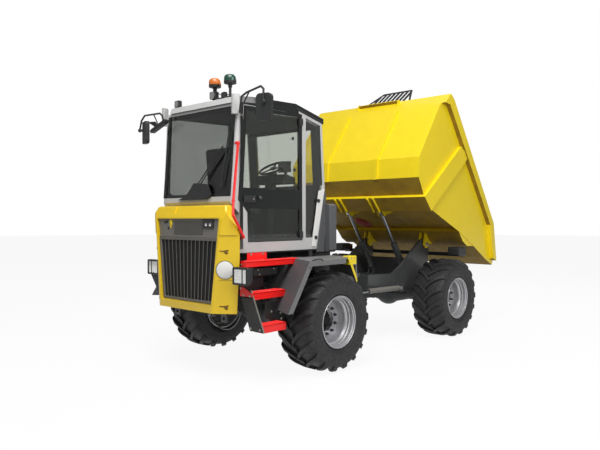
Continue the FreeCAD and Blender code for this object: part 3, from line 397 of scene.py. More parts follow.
# Woven screen behind the bars: nearly black, with a mesh drawn as coarse as it needs to show. The same
# black on the bars' flanks is painted shade.
FLY_SCREEN_AND_SHADE = WovenFabric("Black woven fly screen", "#121211", "#1B1A19", 0.8, 0.1, thread_mm=4.0)
# Blank sign plate: satin dark grey.
SIGN_GREY = Finish("Dark grey enamel on blank sign plate", "#4E4B46", "#45423E", 0.35, grain_mm=6)
# Joint lines: a thin dark gap with dust in it.
DARK_SEAM = Finish("Dusty joint line", "#7A5E10", "#5E480C", 0.7, grain_mm=3)
# Latch cups: yellow plastic in deep shade.
LATCH_BROWN = Finish("Shaded brown latch cup", "#7A5A12", "#55400E", 0.5, grain_mm=3)
# Powder coat on welded plate: nearly black, cloudy where dust has been wiped off.
FRAME_GREY = Finish(
    "Anthracite powder coat on welded plate", "#434545", "#363838", 0.38,
    coat=0.15, grain_mm=6, mottle=0.5,
)
# Sand-cast iron under enamel: coarse bumps that stay visible through the paint.
CAST = Finish(
    "Anthracite enamel on rough cast iron", "#303234", "#242628", 0.5,
    grain_mm=9, depth_mm=0.35, mottle=0.5,
)
# Moulded ABS: black with a fine spark-eroded grain and broad, weak highlights.
BLACK_PLASTIC = Finish("Black moulded plastic", "#222324", "#2D2E2F", 0.48, grain_mm=2.5, depth_mm=0.06)
# Ceramic print fired on glass: mirror-smooth black that takes sharp highlights.
GLOSS_BLACK = Finish(
    "Black ceramic print on glass", "#171A19", "#1E2221", 0.08, 0.05,
    coat=0.6, grain_mm=60, depth_mm=0.01,
)
# Moulded lining: a dull green-grey. On the cab shell's inner faces it is painted shade.
TRIM_AND_CAB_SHADE = Finish("Dark moulded cab lining", "#3C403D", "#333734", 0.6, grain_mm=3, depth_mm=0.1)
# Moulded tyre rubber: dull black with pale dust in soft patches.
RUBBER = DustyRubber(
    "Moulded tyre rubber", "#1C1B1D", "#28262A", 0.55, 0.2,
    grain_mm=4, depth_mm=0.25, patch_mm=90, mottle=0.6,
)
# Enamel and matt enamel on steel: two blacks, the second without any shine. On the wheel hubs the matt
# black is painted shade in the dish's recess.
STEP_BLACK = Finish("Black enamel on step plates", "#131313", "#1C1C1B", 0.45, grain_mm=6)
MATT_BLACK_AND_HUB_SHADE = Finish("Matt black enamel on steel", "#0D0D0D", "#151515", 0.65, grain_mm=6, specular=0.3)
# Extruded rubber: dull black with a smooth skin. In the mudguards' wells the same black is painted
# shade.
SEAL_AND_WELL_SHADE = Finish("Extruded rubber seal", "#1C1D1D", "#262727", 0.6, grain_mm=3)
# Aluminium-filled lacquer: a silver that is half metal, half paint.
RIM_SILVER = Finish(
    "Silver wheel lacquer", "#BDBCBF", "#A3A2A6", 0.33, 0.1,
    metallic=0.55, coat=0.15, grain_mm=5, mottle=0.4,
)
# Zinc plate: a warm, slightly spangled metal. Along the front step plate's edge it is a painted
# highlight.
ZINC = Finish("Zinc plated steel", "#A9A69B", "#8F8C80", 0.35, metallic=0.9, grain_mm=4, patch_mm=30)
# Ground and chromed rod: a clear mirror whose colour is darkened as painted shade, standing in for the
# dark surroundings it reflects.
DARKENED_CHROME = Finish(
    "Oiled hard chromed rod", "#83868A", "#6C6F73", 0.2, 0.1, metallic=1.0, grain_mm=80, depth_mm=0.01
)
# Aluminium film on moulded flutes: bright, with lively glints.
SILVER_LENS = Finish(
    "Vacuum metallised reflector", "#E3E3E1", "#BDBDBB", 0.1, 0.1,
    metallic=0.95, grain_mm=14, depth_mm=1.2,
)
# Primer: a dull, even dark red, which unlit tail lenses also show.
DARK_RED = Finish("Dark red primer on steel disc", "#8E1510", "#6E0F0B", 0.5, grain_mm=5)
# Moulded polycarbonate, dyed through: saturated, glossy and slightly wavy.
ORANGE_LENS = Finish(
    "Amber moulded lens", "#D5742B", "#B95C1E", 0.2, coat=0.5, grain_mm=8, depth_mm=0.3
)
GREEN_LENS = Finish(
    "Green moulded lens", "#1F4A3C", "#163A2F", 0.2, coat=0.5, grain_mm=8, depth_mm=0.3
)
# Reflective film on sheet: a clean white with a low sheen.
DISC_WHITE = Finish("White reflective film", "#F2F1EC", "#E6E4DD", 0.4, grain_mm=4)
# Seat cloth: a mid grey twill, its threads drawn coarser than real so that they show.
FABRIC = WovenFabric("Grey twill seat cloth", "#565857", "#636564", 0.85, 0.1)
# Float glass: clear panes that differ only in how strongly they are tinted.
SCREEN_GLASS = ClearFinish("Grey tinted laminated windscreen", "#8E908F")
SIDE_GLASS = ClearFinish("Pale tinted side glass", "#D2D5CF")
REAR_GLASS = ClearFinish("Pale tinted rear glass", "#E2E4E0")
DOOR_GLASS = ClearFinish("Tinted door glass", "#C6CAC2")


# ------------------------------------------------------------------ modelling


class Bench:
    """Small modelling moves that every sub-assembly uses."""

    @staticmethod
    def deselect() -> None:
        """Deselect every object."""
        bpy.ops.object.select_all(action="DESELECT")

    @staticmethod
    @contextmanager
    def editing(outwards: bool = True) -> Iterator[None]:
        """Edit the active piece with everything selected.

        Args:
            outwards: Whether its faces are turned outwards at the end.

        Yields:
            Nothing; the work is done in between.
        """
        bpy.ops.object.mode_set(mode="EDIT")
        bpy.ops.mesh.select_all(action="SELECT")
        yield
        if outwards:
            bpy.ops.mesh.select_all(action="SELECT")
            bpy.ops.mesh.normals_make_consistent(inside=False)
        bpy.ops.object.mode_set(mode="OBJECT")

    @staticmethod
    def extruded(move: Vector | Point) -> None:
        """Extrude the selected faces or edges by a move in metres."""
        bpy.ops.mesh.extrude_region_move(
            TRANSFORM_OT_translate={"value": move, "orient_type": "GLOBAL"}
        )

    @staticmethod
    def applied(piece: Piece, kind: str, **settings) -> None:
        """Give a piece a modifier and apply it.

        Args:
            piece: The mesh.
            kind: Blender's name for the modifier.
            **settings: The modifier's properties.
        """
        Bench.only(piece)
        modifier = piece.modifiers.new(kind.lower(), kind)
        for key, value in settings.items():
            setattr(modifier, key, value)
        bpy.ops.object.modifier_apply(modifier=modifier.name)

    @staticmethod
    def only(piece: Piece) -> Piece:
        """Make a piece the only selected and the active one."""
        Bench.deselect()
        piece.select_set(True)
        bpy.context.view_layer.objects.active = piece
        return piece

    @staticmethod
    def named(name: str) -> Piece:
        """Name the active object, apply its place and return it."""
        piece = bpy.context.view_layer.objects.active
        piece.name = name
        piece.data.name = name
        Bench.only(piece)
        bpy.ops.object.transform_apply(location=True, rotation=True, scale=True)
        return piece

    @staticmethod
    def bevel(piece: Piece, width_mm: float, segments: int = 2, angle: float = 30.0) -> Piece:
        """Round the sharp edges of a piece.

        Args:
            piece: The mesh to round.
            width_mm: Width of the rounding.
            segments: Steps across it.
            angle: Edges sharper than this are rounded, in degrees.

        Returns:
            The same piece.
        """
        Bench.shaded(piece, 30)
        Bench.applied(
            piece,
            "BEVEL",
            width=width_mm * MM,
            segments=segments,
            limit_method="ANGLE",
            angle_limit=math.radians(angle),
            harden_normals=True,
        )
        return piece

    @staticmethod
    def shaded(piece: Piece, angle: float = 38.0) -> Piece:
        """Shade a piece smooth up to an angle in degrees."""
        Bench.only(piece)
        bpy.ops.object.shade_smooth_by_angle(angle=math.radians(angle))
        return piece

    @staticmethod
    def block(
        name: str, low: Point, high: Point, round_mm: float = 4.0, segments: int = 2
    ) -> Piece:
        """Add a box with rounded edges.

        Args:
            name: The piece's name.
            low: Lowest corner.
            high: Highest corner.
            round_mm: Width of the rounding.
            segments: Steps across it.

        Returns:
            The piece.
        """
        Bench.deselect()
        a, b = at(*low), at(*high)
        bpy.ops.mesh.primitive_cube_add(size=1, location=(a + b) / 2, scale=b - a)
        return Bench.bevel(Bench.named(name), round_mm, segments)

    @staticmethod
    def side_block(
        name: str, side: int, low: Point, high: Point, round_mm: float = 4.0, segments: int = 2
    ) -> Piece:
        """Add a rounded box on one side of the machine.

        Args:
            name: The piece's name.
            side: 1 for the left, -1 for the right.
            low: Lowest corner of the left one.
            high: Highest corner of the left one.
            round_mm: Width of the rounding.
            segments: Steps across it.

        Returns:
            The piece.
        """
        y0, y1 = sorted((side * low[1], side * high[1]))
        return Bench.block(name, (low[0], y0, low[2]), (high[0], y1, high[2]), round_mm, segments)

    @staticmethod
    def plate(
        name: str, outline: Sequence[Point], thick: Point, round_mm: float = 2.0, segments: int = 1
    ) -> Piece:
        """Cut a flat plate to an outline and give it a thickness.

        Args:
            name: The piece's name.
            outline: Corners in order.
            thick: The move from one face to the other, in millimetres.
            round_mm: Width of the edge rounding.
            segments: Steps across it.

        Returns:
            The piece.
        """
        Bench.deselect()
        bpy.ops.mesh.primitive_circle_add(vertices=len(outline), radius=1, fill_type="NGON")
        piece = Bench.named(name)
        for vertex, corner in zip(piece.data.vertices, outline):
            vertex.co = at(*corner)
        with Bench.editing():
            Bench.extruded(Vector(thick) * MM)
        return Bench.bevel(piece, round_mm, segments) if round_mm else piece

    @staticmethod
    def drum(
        name: str,
        start: Point,
        aim: Point,
        stations: Sequence[Pair],
        sides: int = 48,
        closed: bool = True,
    ) -> Piece:
        """Raise a round piece ring by ring along a line.

        Args:
            name: The piece's name.
            start: Point where the line starts.
            aim: The line's direction, of any length.
            stations: Distance along the line and radius of each ring.
            sides: Corners of each ring.
            closed: Whether the first and last rings get a cap.

        Returns:
            The piece.
        """
        Bench.deselect()
        height, radius = stations[0]
        bpy.ops.mesh.primitive_circle_add(
            vertices=sides,
            radius=radius * MM,
            location=(0, 0, height * MM),
            fill_type="NGON" if closed else "NOTHING",
        )
        piece = Bench.named(name)
        with Bench.editing():
            for (h0, r0), (h1, r1) in zip(stations, stations[1:]):
                Bench.extruded((0, 0, (h1 - h0) * MM))
                share = r1 / r0
                bpy.ops.transform.resize(value=(share, share, 1), center_override=(0, 0, h1 * MM))
        turn = Vector(aim).to_track_quat("Z", "Y").to_matrix().to_4x4()
        piece.data.transform(Matrix.Translation(at(*start)) @ turn)
        return Bench.shaded(piece)

    @staticmethod
    def pipe(
        name: str, points: Sequence[Point], radius: float, sides: int = 12, corner: float = 40.0
    ) -> Piece:
        """Bend a round tube through points.

        Args:
            name: The piece's name.
            points: Centre line's corners.
            radius: Outside radius of the tube.
            sides: Corners of its section.
            corner: Length of the bend on each side of a corner.

        Returns:
            The piece.
        """
        route = [Vector(points[0])]
        for before, here, after in zip(points, points[1:], points[2:]):
            a, b, c = Vector(before), Vector(here), Vector(after)
            reach = min(corner, (a - b).length * 0.45, (c - b).length * 0.45)
            first = b + (a - b).normalized() * reach
            last = b + (c - b).normalized() * reach
            for step in range(5):
                t = step / 4
                route.append(first * (1 - t) ** 2 + b * 2 * t * (1 - t) + last * t**2)
        route.append(Vector(points[-1]))
        curve = bpy.data.curves.new(name, "CURVE")
        curve.dimensions = "3D"
        curve.bevel_depth = radius * MM
        curve.bevel_resolution = max(1, sides // 4 - 1)
        curve.use_fill_caps = True
        spline = curve.splines.new("POLY")
        spline.points.add(len(route) - 1)
        for point, place in zip(spline.points, route):
            point.co = (*at(*place), 1)
        piece = bpy.data.objects.new(name, curve)
        bpy.context.scene.collection.objects.link(piece)
        Bench.only(piece)
        bpy.ops.object.convert(target="MESH")
        return Bench.shaded(Bench.named(name), 50)

    @staticmethod
    def joined(name: str, pieces: Iterable[Piece]) -> Piece:
        """Join pieces of one finish into one object."""
        found = list(pieces)
        Bench.deselect()
        for piece in found:
            piece.select_set(True)
        bpy.context.view_layer.objects.active = found[0]
        bpy.ops.object.join()
        return Bench.named(name)

    @staticmethod
    def copied(
        piece: Piece, name: str, move: Point = (0, 0, 0), turn: Matrix | None = None
    ) -> Piece:
        """Copy a piece with a mesh of its own.

        Args:
            piece: The piece to copy.
            name: Name of the copy.
            move: How far the copy moves, in millimetres.
            turn: A matrix that is applied before the move.

        Returns:
            The copy.
        """
        twin = piece.copy()
        twin.data = piece.data.copy()
        twin.name = name
        twin.data.name = name
        bpy.context.scene.collection.objects.link(twin)
        if turn is not None:
            twin.data.transform(turn)
        twin.data.transform(Matrix.Translation(Vector(move) * MM))
        return twin

    @staticmethod
    def mirrored(piece: Piece, name: str) -> Piece:
        """Copy a piece to the machine's other side."""
        twin = Bench.copied(piece, name, turn=Matrix.Diagonal((1, -1, 1, 1)))
        return Bench.turned_out(twin)

    @staticmethod
    def turned_out(piece: Piece) -> Piece:
        """Turn a mirrored mesh's faces outwards again."""
        Bench.only(piece)
        with Bench.editing(outwards=False):
            bpy.ops.mesh.flip_normals()
            bpy.ops.mesh.customdata_custom_splitnormals_clear()
        return Bench.shaded(piece, 30)

    @staticmethod
    def softened(
        node: str, name: str, width_mm: float, segments: int = 2, angle: float = 25.0
    ) -> Piece:
        """Copy a CAD node, merge its loose triangles and round its edges.

        Args:
            node: The CAD node.
            name: Name of the copy, which stands for the node.
            width_mm: Width of the rounding.
            segments: Steps across it.
            angle: Edges sharper than this are rounded, in degrees.

        Returns:
            The copy.
        """
        piece = bpy.data.objects.new(name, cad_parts[node].data.copy())
        bpy.context.scene.collection.objects.link(piece)
        piece.data.name = name
        piece.data.materials.clear()
        Bench.only(piece)
        with Bench.editing(outwards=False):
            bpy.ops.mesh.remove_doubles(threshold=TRIANGLE_GAP)
            bpy.ops.mesh.customdata_custom_splitnormals_clear()
            bpy.ops.mesh.dissolve_limited(angle_limit=math.radians(1.0))
        if width_mm:
            Bench.bevel(piece, width_mm, segments, angle)
        else:
            Bench.shaded(piece)
        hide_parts(node)
        return piece


class Slot(Enum):
    """The record's material slots."""

    YELLOW = "paint_yellow"
    LIGHT_GREY = "paint_light_grey"
    DARK_GREY = "paint_dark_grey"
    RED = "paint_red"
    BLACK = "black_plastic"
    GREY = "grey_plastic"
    GLASS = "glass"
    BEACON = "beacon"
    TYRE = "rubber_tyre"
    RIM = "rim_silver"
    ROD = "steel_rod"
    CAST = "cast"
    FABRIC = "fabric"


def dress(piece: Piece, finish: Finish | ClearFinish, body: str) -> Piece:
    """Give a piece its finish and let it ride on a body.

    Args:
        piece: The finished mesh.
        finish: What its surface is made of.
        body: The CAD body that carries it.

    Returns:
        The same piece.
    """
    piece.data.materials.clear()
    piece.data.materials.append(finish.build())
    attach(piece, body)
    LOG.info("%s: %s on %s", piece.name, finish.name, body)
    return piece


def paint_node(node: str, finish: Finish | ClearFinish) -> None:
    """Give a CAD node that stays its finish."""
    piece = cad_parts[node]
    piece.data.materials.clear()
    piece.data.materials.append(finish.build())


def recoat(piece: Piece, finish: Finish, chosen: Callable[[Face], bool]) -> None:
    """Give some faces of a dressed piece another finish.

    Args:
        piece: The dressed piece.
        finish: The other finish.
        chosen: Tells whether a face takes it.
    """
    piece.data.materials.append(finish.build())
    index = len(piece.data.materials) - 1
    for face in piece.data.polygons:
        if chosen(face):
            face.material_index = index


# ------------------------------------------------------------------ wheels


class Corner(Enum):
    """The four wheels by place."""

    FRONT_LEFT = "front_left"
    FRONT_RIGHT = "front_right"
    REAR_LEFT = "rear_left"
    REAR_RIGHT = "rear_right"


@dataclass
class Wheels:
    """Flotation tyres with a curved chevron tread on deep-dished wheels."""

    lug_pairs: int = 18
    lug_round: float = 4.5
    lug_flare: float = 9.0
    nuts: int = 10
    nut_circle: float = 156.0
    hub_bolts: int = 8
    hub_bolt_circle: float = 76.0
    rim_radius: float = 300.0
    crown_radius: float = 539.0
    shoulder: Sequence[Pair] = (
        (206, 303), (228, 322), (240, 352), (242, 358), (246, 362), (248, 400),
        (249, 440), (248, 478), (240, 502), (214, 520), (166, 532), (80, 538),
    )
    lug_rows: Sequence[tuple[float, float, float, float, float]] = (
        (-18, 0.0, 23, 520, 573.5),
        (34, 5.4, 23, 520, 574.5),
        (82, 10.0, 24, 518, 574),
        (128, 13.6, 25, 514, 572),
        (172, 16.4, 27, 506, 567),
        (210, 18.4, 29, 494, 557),
        (236, 19.8, 30, 480, 540),
        (249, 20.8, 30, 460, 514),
        (243, 21.6, 26, 430, 472),
    )
    outer_dish: Sequence[Pair] = (
        (228, 300), (229, 294), (224, 287), (208, 285), (203, 277), (162, 273),
        (156, 264), (132, 262), (120, 246), (108, 240), (60, 238), (24, 236),
    )
    disc: Sequence[Pair] = (
        (10, 227), (8, 214), (20, 198), (26, 184), (26, 126),
        (12, 126), (10, 184), (-4, 205), (-14, 236),
    )
    inner_dish: Sequence[Pair] = (
        (-90, 243), (-112, 247), (-126, 262), (-196, 279), (-224, 288), (-229, 294), (-228, 300),
    )
    rim_back: Sequence[Pair] = (
        (-212, 300), (-200, 286), (-110, 270), (-90, 258),
        (90, 258), (110, 270), (200, 286), (212, 300),
    )

    def build(self) -> None:
        """Model one wheel, copy it to every corner and dress the copies."""
        parts = (
            (self.tyre(), RUBBER, Slot.TYRE, "tyre_"),
            (self.rim(), RIM_SILVER, Slot.RIM, "rim_"),
            # The hub takes the matt black as painted shade in the wheel's recess.
            (self.hub(), MATT_BLACK_AND_HUB_SHADE, Slot.CAST, ""),
            (self.nut_ring(), CAST, Slot.CAST, ""),
        )
        for corner in Corner:
            low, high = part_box("tyre_" + corner.value)
            centre = (low + high) / 2
            side = 1 if centre.y > 0 else -1
            turn = Matrix.Diagonal((1, side, 1, 1))
            place = (centre - Vector((ORIGIN_X, 0, 0))) / MM
            place.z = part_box("rim_" + corner.value)[0].z / MM + self.rim_radius
            for source, finish, slot, node in parts:
                twin = Bench.copied(source, f"{source.name}_{corner.value}", tuple(place), turn)
                if side < 0:
                    Bench.turned_out(twin)
                dress(twin, finish, "wheel_" + corner.value)
                if node:
                    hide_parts(node + corner.value)
        for source, *_ in parts:
            bpy.data.objects.remove(source)

    @staticmethod
    def ringed(name: str, stations: Sequence[Pair], sides: int) -> Piece:
        """Turn a closed outline about the wheel's axle.

        Args:
            name: The piece's name.
            stations: Distance along the axle and radius of each ring.
            sides: Corners of each ring.

        Returns:
            The piece, about an axle at the ground's level.
        """
        loop = [*stations, stations[0]]
        piece = Bench.drum(name, (0, 0, 0), LEFT, loop, sides, closed=False)
        Bench.only(piece)
        with Bench.editing():
            bpy.ops.mesh.remove_doubles(threshold=SEAM_GAP)
        return piece

    def waved(self, piece: Piece, near: float, far: float, depth: float) -> None:
        """Swell the rings between two radii in one wave for each nut.

        Args:
            piece: The piece about the axle.
            near: Rings inside this radius stay round.
            far: Rings outside this radius stay round.
            depth: Height of the waves as a share of the radius.
        """
        centre = at(0, 0, 0)
        for vertex in piece.data.vertices:
            spot = vertex.co - centre
            if near * MM < math.hypot(spot.x, spot.z) < far * MM:
                swell = 1 + depth * math.cos(self.nuts * math.atan2(spot.z, spot.x))
                vertex.co.x = centre.x + spot.x * swell
                vertex.co.z = spot.z * swell

    @staticmethod
    def around(count: int, radius: float, shift: float = 0.0) -> list[Pair]:
        """Return the X and Z of evenly spaced places about the axle.

        Args:
            count: How many places there are.
            radius: Their distance from the axle.
            shift: Share of a step by which the first one is turned.

        Returns:
            X and Z of each place.
        """
        angles = [math.tau * (index + shift) / count for index in range(count)]
        return [(radius * math.cos(angle), radius * math.sin(angle)) for angle in angles]

    def lug(self) -> Piece:
        """Model one lug from the tread's middle round the shoulder.

        Each row gives its Y, how far it is turned about the axle in degrees, its half
        width, and the radii of its foot and its top.
        """
        rows = self.lug_rows
        Bench.deselect()
        bpy.ops.mesh.primitive_grid_add(x_subdivisions=2, y_subdivisions=len(rows) - 1, size=2)
        piece = Bench.named("lug")
        with Bench.editing():
            Bench.extruded((0, 0, 1))
        for vertex in piece.data.vertices:
            step = round((vertex.co.y + 1) / 2 * (len(rows) - 1))
            y, advance, half, foot, tip = rows[step]
            top = vertex.co.z > 0.5
            radius = tip if top else foot
            width = half if top else half + self.lug_flare
            angle = math.radians(advance) + vertex.co.x * width / radius
            vertex.co = at(radius * math.cos(angle), y, radius * math.sin(angle))
        return Bench.bevel(piece, self.lug_round, 2, 40)

    def tyre(self) -> Piece:
        """Model the casing and wrap the lugs round it."""
        left = [(-y, radius) for y, radius in self.shoulder]
        outline = [*left, (0, self.crown_radius), *reversed(self.shoulder)]
        parts = [self.ringed("tyre", outline, 90)]
        lug = self.lug()
        pitch = math.tau / self.lug_pairs
        centre = Matrix.Translation(at(0, 0, 0))
        for index in range(self.lug_pairs):
            for side, shift in ((1, 0.0), (-1, 0.5)):
                turn = Matrix.Rotation(-(index + shift) * pitch, 4, "Y")
                flip = Matrix.Diagonal((1, side, 1, 1))
                moved = centre @ turn @ flip @ centre.inverted()
                twin = Bench.copied(lug, f"lug_{index}_{side}", turn=moved)
                if side < 0:
                    Bench.turned_out(twin)
                parts.append(twin)
        bpy.data.objects.remove(lug)
        return Bench.joined("tyre", parts)

    def rim(self) -> Piece:
        """Model the dished wheel with the wavy edge of its middle hole."""
        outline = (*self.outer_dish, *self.disc, *self.inner_dish, *self.rim_back)
        rim = self.ringed("rim", outline, 100)
        self.waved(rim, 0, 130, 0.045)
        return rim

    def hub(self) -> Piece:
        """Model the planetary hub with its scalloped flange."""
        rings = ((-110, 118), (-50, 122), (-34, 122), (-26, 114), (-24, 100))
        flange = Bench.drum("hub", (0, 0, 0), LEFT, rings, 60)
        self.waved(flange, 99, 200, 0.05)
        rings = ((-32, 94), (2, 92), (12, 84), (14, 60), (34, 56), (42, 50), (44, 30))
        barrel = Bench.drum("barrel", (0, 0, 0), LEFT, rings, 48)
        head = ((0, 7), (13, 7), (15, 5))
        bolts = [
            Bench.drum("bolt", (x, 8, z), LEFT, head, 6)
            for x, z in self.around(self.hub_bolts, self.hub_bolt_circle)
        ]
        return Bench.joined("hub", [flange, barrel, *bolts])

    def nut_ring(self) -> Piece:
        """Model the wheel nuts in their ring."""
        nut = ((0, 19), (5, 19), (6, 16), (24, 16), (27, 12))
        stud = ((20, 8), (38, 8), (40, 6))
        nuts = []
        for x, z in self.around(self.nuts, self.nut_circle, 0.5):
            nuts.append(Bench.drum("nut", (x, 26, z), LEFT, nut, 6))
            nuts.append(Bench.drum("stud", (x, 26, z), LEFT, stud, 10))
        return Bench.joined("nuts", nuts)


# ------------------------------------------------------------------ hood


@dataclass
class Hood:
    """Moulded yellow cover with its grille, panel, latches and blank disc."""

    body: str = "hood"
    panel_x: float = 1183.0
    panel_thick: float = 9.0
    panel_half_low: float = 534.0
    panel_half_top: float = 557.0
    edge_mm: float = 22.0
    opening_share: float = 0.3
    least_area: float = 0.016
    bar_half: float = 430.0
    bar_z: Pair = (860.0, 1500.0)
    chamfer: Point = (0.8066, 0.5892, -0.0444)
    disc_place: Point = (1172, 608, 1205)
    disc_radius: float = 98.0
    latch_places: Sequence[Point] = ((1183, 608, 1397), (1166, 587, 806))
    latch_outline: Sequence[Pair] = (
        (-58, 8), (-50, 16), (-20, 14), (44, 24), (50, 14), (34, 0),
        (46, -18), (24, -28), (4, -18), (-4, 0), (-40, 2),
    )
    seam_z: float = 1092.0
    seam_half: float = 72.0

    def build(self) -> None:
        """Build and dress the hood's pieces."""
        dress(self.cover(), YELLOW_HOOD, self.body)
        bars = Bench.softened("grille", "grille_bars", 3, 2)
        dress(bars, PANEL_GREY, self.body)
        self.paint_screen_and_flank_shade(bars)
        self.panel()
        self.disc()
        dress(self.seams(), DARK_SEAM, self.body)
        dress(self.latches(), LATCH_BROWN, self.body)

    def cover(self) -> Piece:
        """Copy the cover, round its long outer edges widely and its opening a little."""
        piece = Bench.softened("hood_shell", "hood_cover", 0)
        mesh = piece.data
        weights = mesh.attributes.new("bevel_weight_edge", "FLOAT", "EDGE")
        faces_of: dict[tuple[int, int], list[Face]] = {}
        for face in mesh.polygons:
            for key in face.edge_keys:
                faces_of.setdefault(key, []).append(face)
        border = (self.panel_x - 6) * MM + ORIGIN_X
        for edge in mesh.edges:
            pair = faces_of.get(edge.key, [])
            if len(pair) != 2 or min(face.area for face in pair) < self.least_area:
                continue
            first, second = pair
            hollow = first.normal.dot(second.center - first.center) > -1e-4
            if hollow or first.normal.angle(second.normal) < math.radians(8):
                continue
            rearmost = min(mesh.vertices[i].co.x for face in pair for i in face.vertices)
            weights.data[edge.index].value = self.opening_share if rearmost > border else 1.0
        Bench.shaded(piece, 5)
        Bench.applied(
            piece,
            "BEVEL",
            width=self.edge_mm * MM,
            segments=5,
            limit_method="WEIGHT",
            use_clamp_overlap=False,
            harden_normals=True,
        )
        return piece

    def paint_screen_and_flank_shade(self, bars: Piece) -> None:
        """Give the closed back between the bars the fly screen's finish, paint the bars' flanks with
        its black as painted shade, and give the bars' fronts theirs.

        Args:
            bars: The grille's copy.
        """
        back = (self.panel_x + 5) * MM + ORIGIN_X
        low, high = self.bar_z

        def is_bar(face: Face) -> bool:
            """Tell whether a face lies in the bars' field."""
            centre = face.center
            return abs(centre.y) < self.bar_half * MM and low * MM < centre.z < high * MM

        def is_screen_or_shaded_flank(face: Face) -> bool:
            """Tell whether a face is the closed back or a bar's flank, which takes painted shade."""
            behind = face.center.x < back and abs(face.normal.x) > 0.9
            return behind or (is_bar(face) and abs(face.normal.y) > 0.5)

        recoat(bars, FLY_SCREEN_AND_SHADE, is_screen_or_shaded_flank)
        recoat(bars, BAR_GREY, lambda face: is_bar(face) and not is_screen_or_shaded_flank(face))

    def panel(self) -> None:
        """Replace the plain panel by a plate with a folded rim, and add its fittings."""
        low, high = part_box("hood_panel")
        back, face = self.panel_x, self.panel_x + self.panel_thick
        bottom, top = low.z / MM, high.z / MM
        half_low, half_top = self.panel_half_low, self.panel_half_top
        corners = [
            (back, -half_low, bottom),
            (back, half_low, bottom),
            (back, half_top, top),
            (back, -half_top, top),
        ]
        foot = ((face - 2, -half_low, bottom), (face + 5, half_low, bottom + 16))
        head = ((face - 2, -half_top + 4, top - 14), (face + 3, half_top - 4, top))
        pieces = [
            Bench.plate("panel_plate", corners, (self.panel_thick, 0, 0), 3, 2),
            Bench.block("rim", *foot, 3, 2),
            Bench.block("rim", *head, 2, 1),
        ]
        plate = Bench.joined("panel_plate", pieces)
        dress(plate, PANEL_GREY, self.body)
        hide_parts("hood_panel")
        self.sign_and_latch(face)
        self.lamp_box(face)

    def sign_and_latch(self, face: float) -> None:
        """Fix the blank sign, the yellow latch and the locks to the panel.

        Args:
            face: X of the panel's outer face.
        """
        sign = Bench.block("panel_sign", (face - 1, -254, 1573), (face + 6, 264, 1716), 10, 3)
        dress(sign, SIGN_GREY, self.body)
        latch = [
            Bench.block("latch_tab", (face - 1, -334, 1668), (face + 12, -291, 1736), 5, 3),
            Bench.block("latch_tongue", (face + 4, -322, 1640), (face + 12, -304, 1690), 3, 2),
        ]
        dress(Bench.joined("panel_latch", latch), YELLOW, self.body)
        key = ((0, 14), (6, 14), (8, 11), (5, 10), (4, 2))
        places = ((-392, 1712), (-366, 1640), (-432, 1705))
        locks = [Bench.drum("key", place, AHEAD, key, 20) for place in on_x(face - 1, places)]
        dress(Bench.joined("panel_locks", locks), SEAL_AND_WELL_SHADE, self.body)

    def lamp_box(self, face: float) -> None:
        """Fix the box with two small lamps to the panel.

        Args:
            face: X of the panel's outer face.
        """
        box = [
            Bench.block("lamp_box", (face - 1, 269, 1643), (face + 14, 451, 1739), 7, 3),
            Bench.block("lamp_hood", (face + 8, 269, 1724), (face + 18, 451, 1740), 4, 2),
        ]
        dress(Bench.joined("panel_lamp_box", box), BLACK_PLASTIC, self.body)
        lens = ((0, 19), (3, 18), (4, 12), (4.5, 3))
        places = on_x(face + 13, ((332, 1685), (402, 1685)))
        lights = [Bench.drum("light", place, AHEAD, lens, 24) for place in places]
        dress(Bench.joined("panel_lights", lights), SILVER_LENS, self.body)

    def on_chamfer(self, centre: Point, across: float, up: float, out: float) -> Point:
        """Return a point near the left chamfer.

        Args:
            centre: A point on the chamfer.
            across: Distance along it towards the cab.
            up: Distance upwards.
            out: Distance off its face.

        Returns:
            The point in millimetres.
        """
        normal = Vector(self.chamfer).normalized()
        along = Vector((-normal.y, normal.x, 0)).normalized()
        rise = normal.cross(along)
        return tuple(Vector(centre) + along * across + rise * up + normal * out)

    def chamfer_plate(
        self, name: str, centre: Point, outline: Sequence[Pair], thick: float, round_mm: float
    ) -> Piece:
        """Lay a thin plate on the left chamfer.

        Args:
            name: The piece's name.
            centre: Where the outline's origin lies.
            outline: Corners as distances across and up.
            thick: Its thickness.
            round_mm: Width of its edge rounding.

        Returns:
            The piece.
        """
        corners = [self.on_chamfer(centre, across, up, -1) for across, up in outline]
        normal = Vector(self.chamfer).normalized() * thick
        return Bench.plate(name, corners, tuple(normal), round_mm, 1)

    def disc(self) -> None:
        """Model the blank round sign with its raised rim."""
        start = self.on_chamfer(self.disc_place, 0, 0, -1)
        radius = self.disc_radius
        rings = ((0, radius), (3, radius), (4, radius - 2), (4.2, 20))
        face = Bench.drum("blank_disc", start, self.chamfer, rings, 64)
        dress(face, DISC_WHITE, self.body)
        rings = ((0, radius + 2), (4, radius + 2), (5, radius), (5, radius - 3), (4, radius - 4))
        ring = Bench.drum("disc_ring", start, self.chamfer, rings, 64)
        dress(ring, SEAL_AND_WELL_SHADE, self.body)

    def seams(self) -> Piece:
        """Model the joint lines across both chamfers."""
        half = self.seam_half
        centre = self.on_chamfer(self.disc_place, 0, self.seam_z - self.disc_place[2], 0)
        outline = ((-half, 2), (-half, -2), (half, -2), (half, 2))
        left = self.chamfer_plate("seam", centre, outline, 1.6, 0)
        return Bench.joined("hood_seams", [left, Bench.mirrored(left, "seam_right")])

    def latches(self) -> Piece:
        """Model the recessed latches on both chamfers."""
        made = []
        key = ((0, 13), (5, 13), (7, 10), (7, 3))
        for place in self.latch_places:
            made.append(self.chamfer_plate("latch_cup", place, self.latch_outline, 3, 1.2))
            start = self.on_chamfer(place, 20, 0, 0)
            made.append(Bench.drum("latch_key", start, self.chamfer, key, 24))
        left = Bench.joined("hood_latches", made)
        return Bench.joined("hood_latches", [left, Bench.mirrored(left, "right_latches")])


# ------------------------------------------------------------------ front end


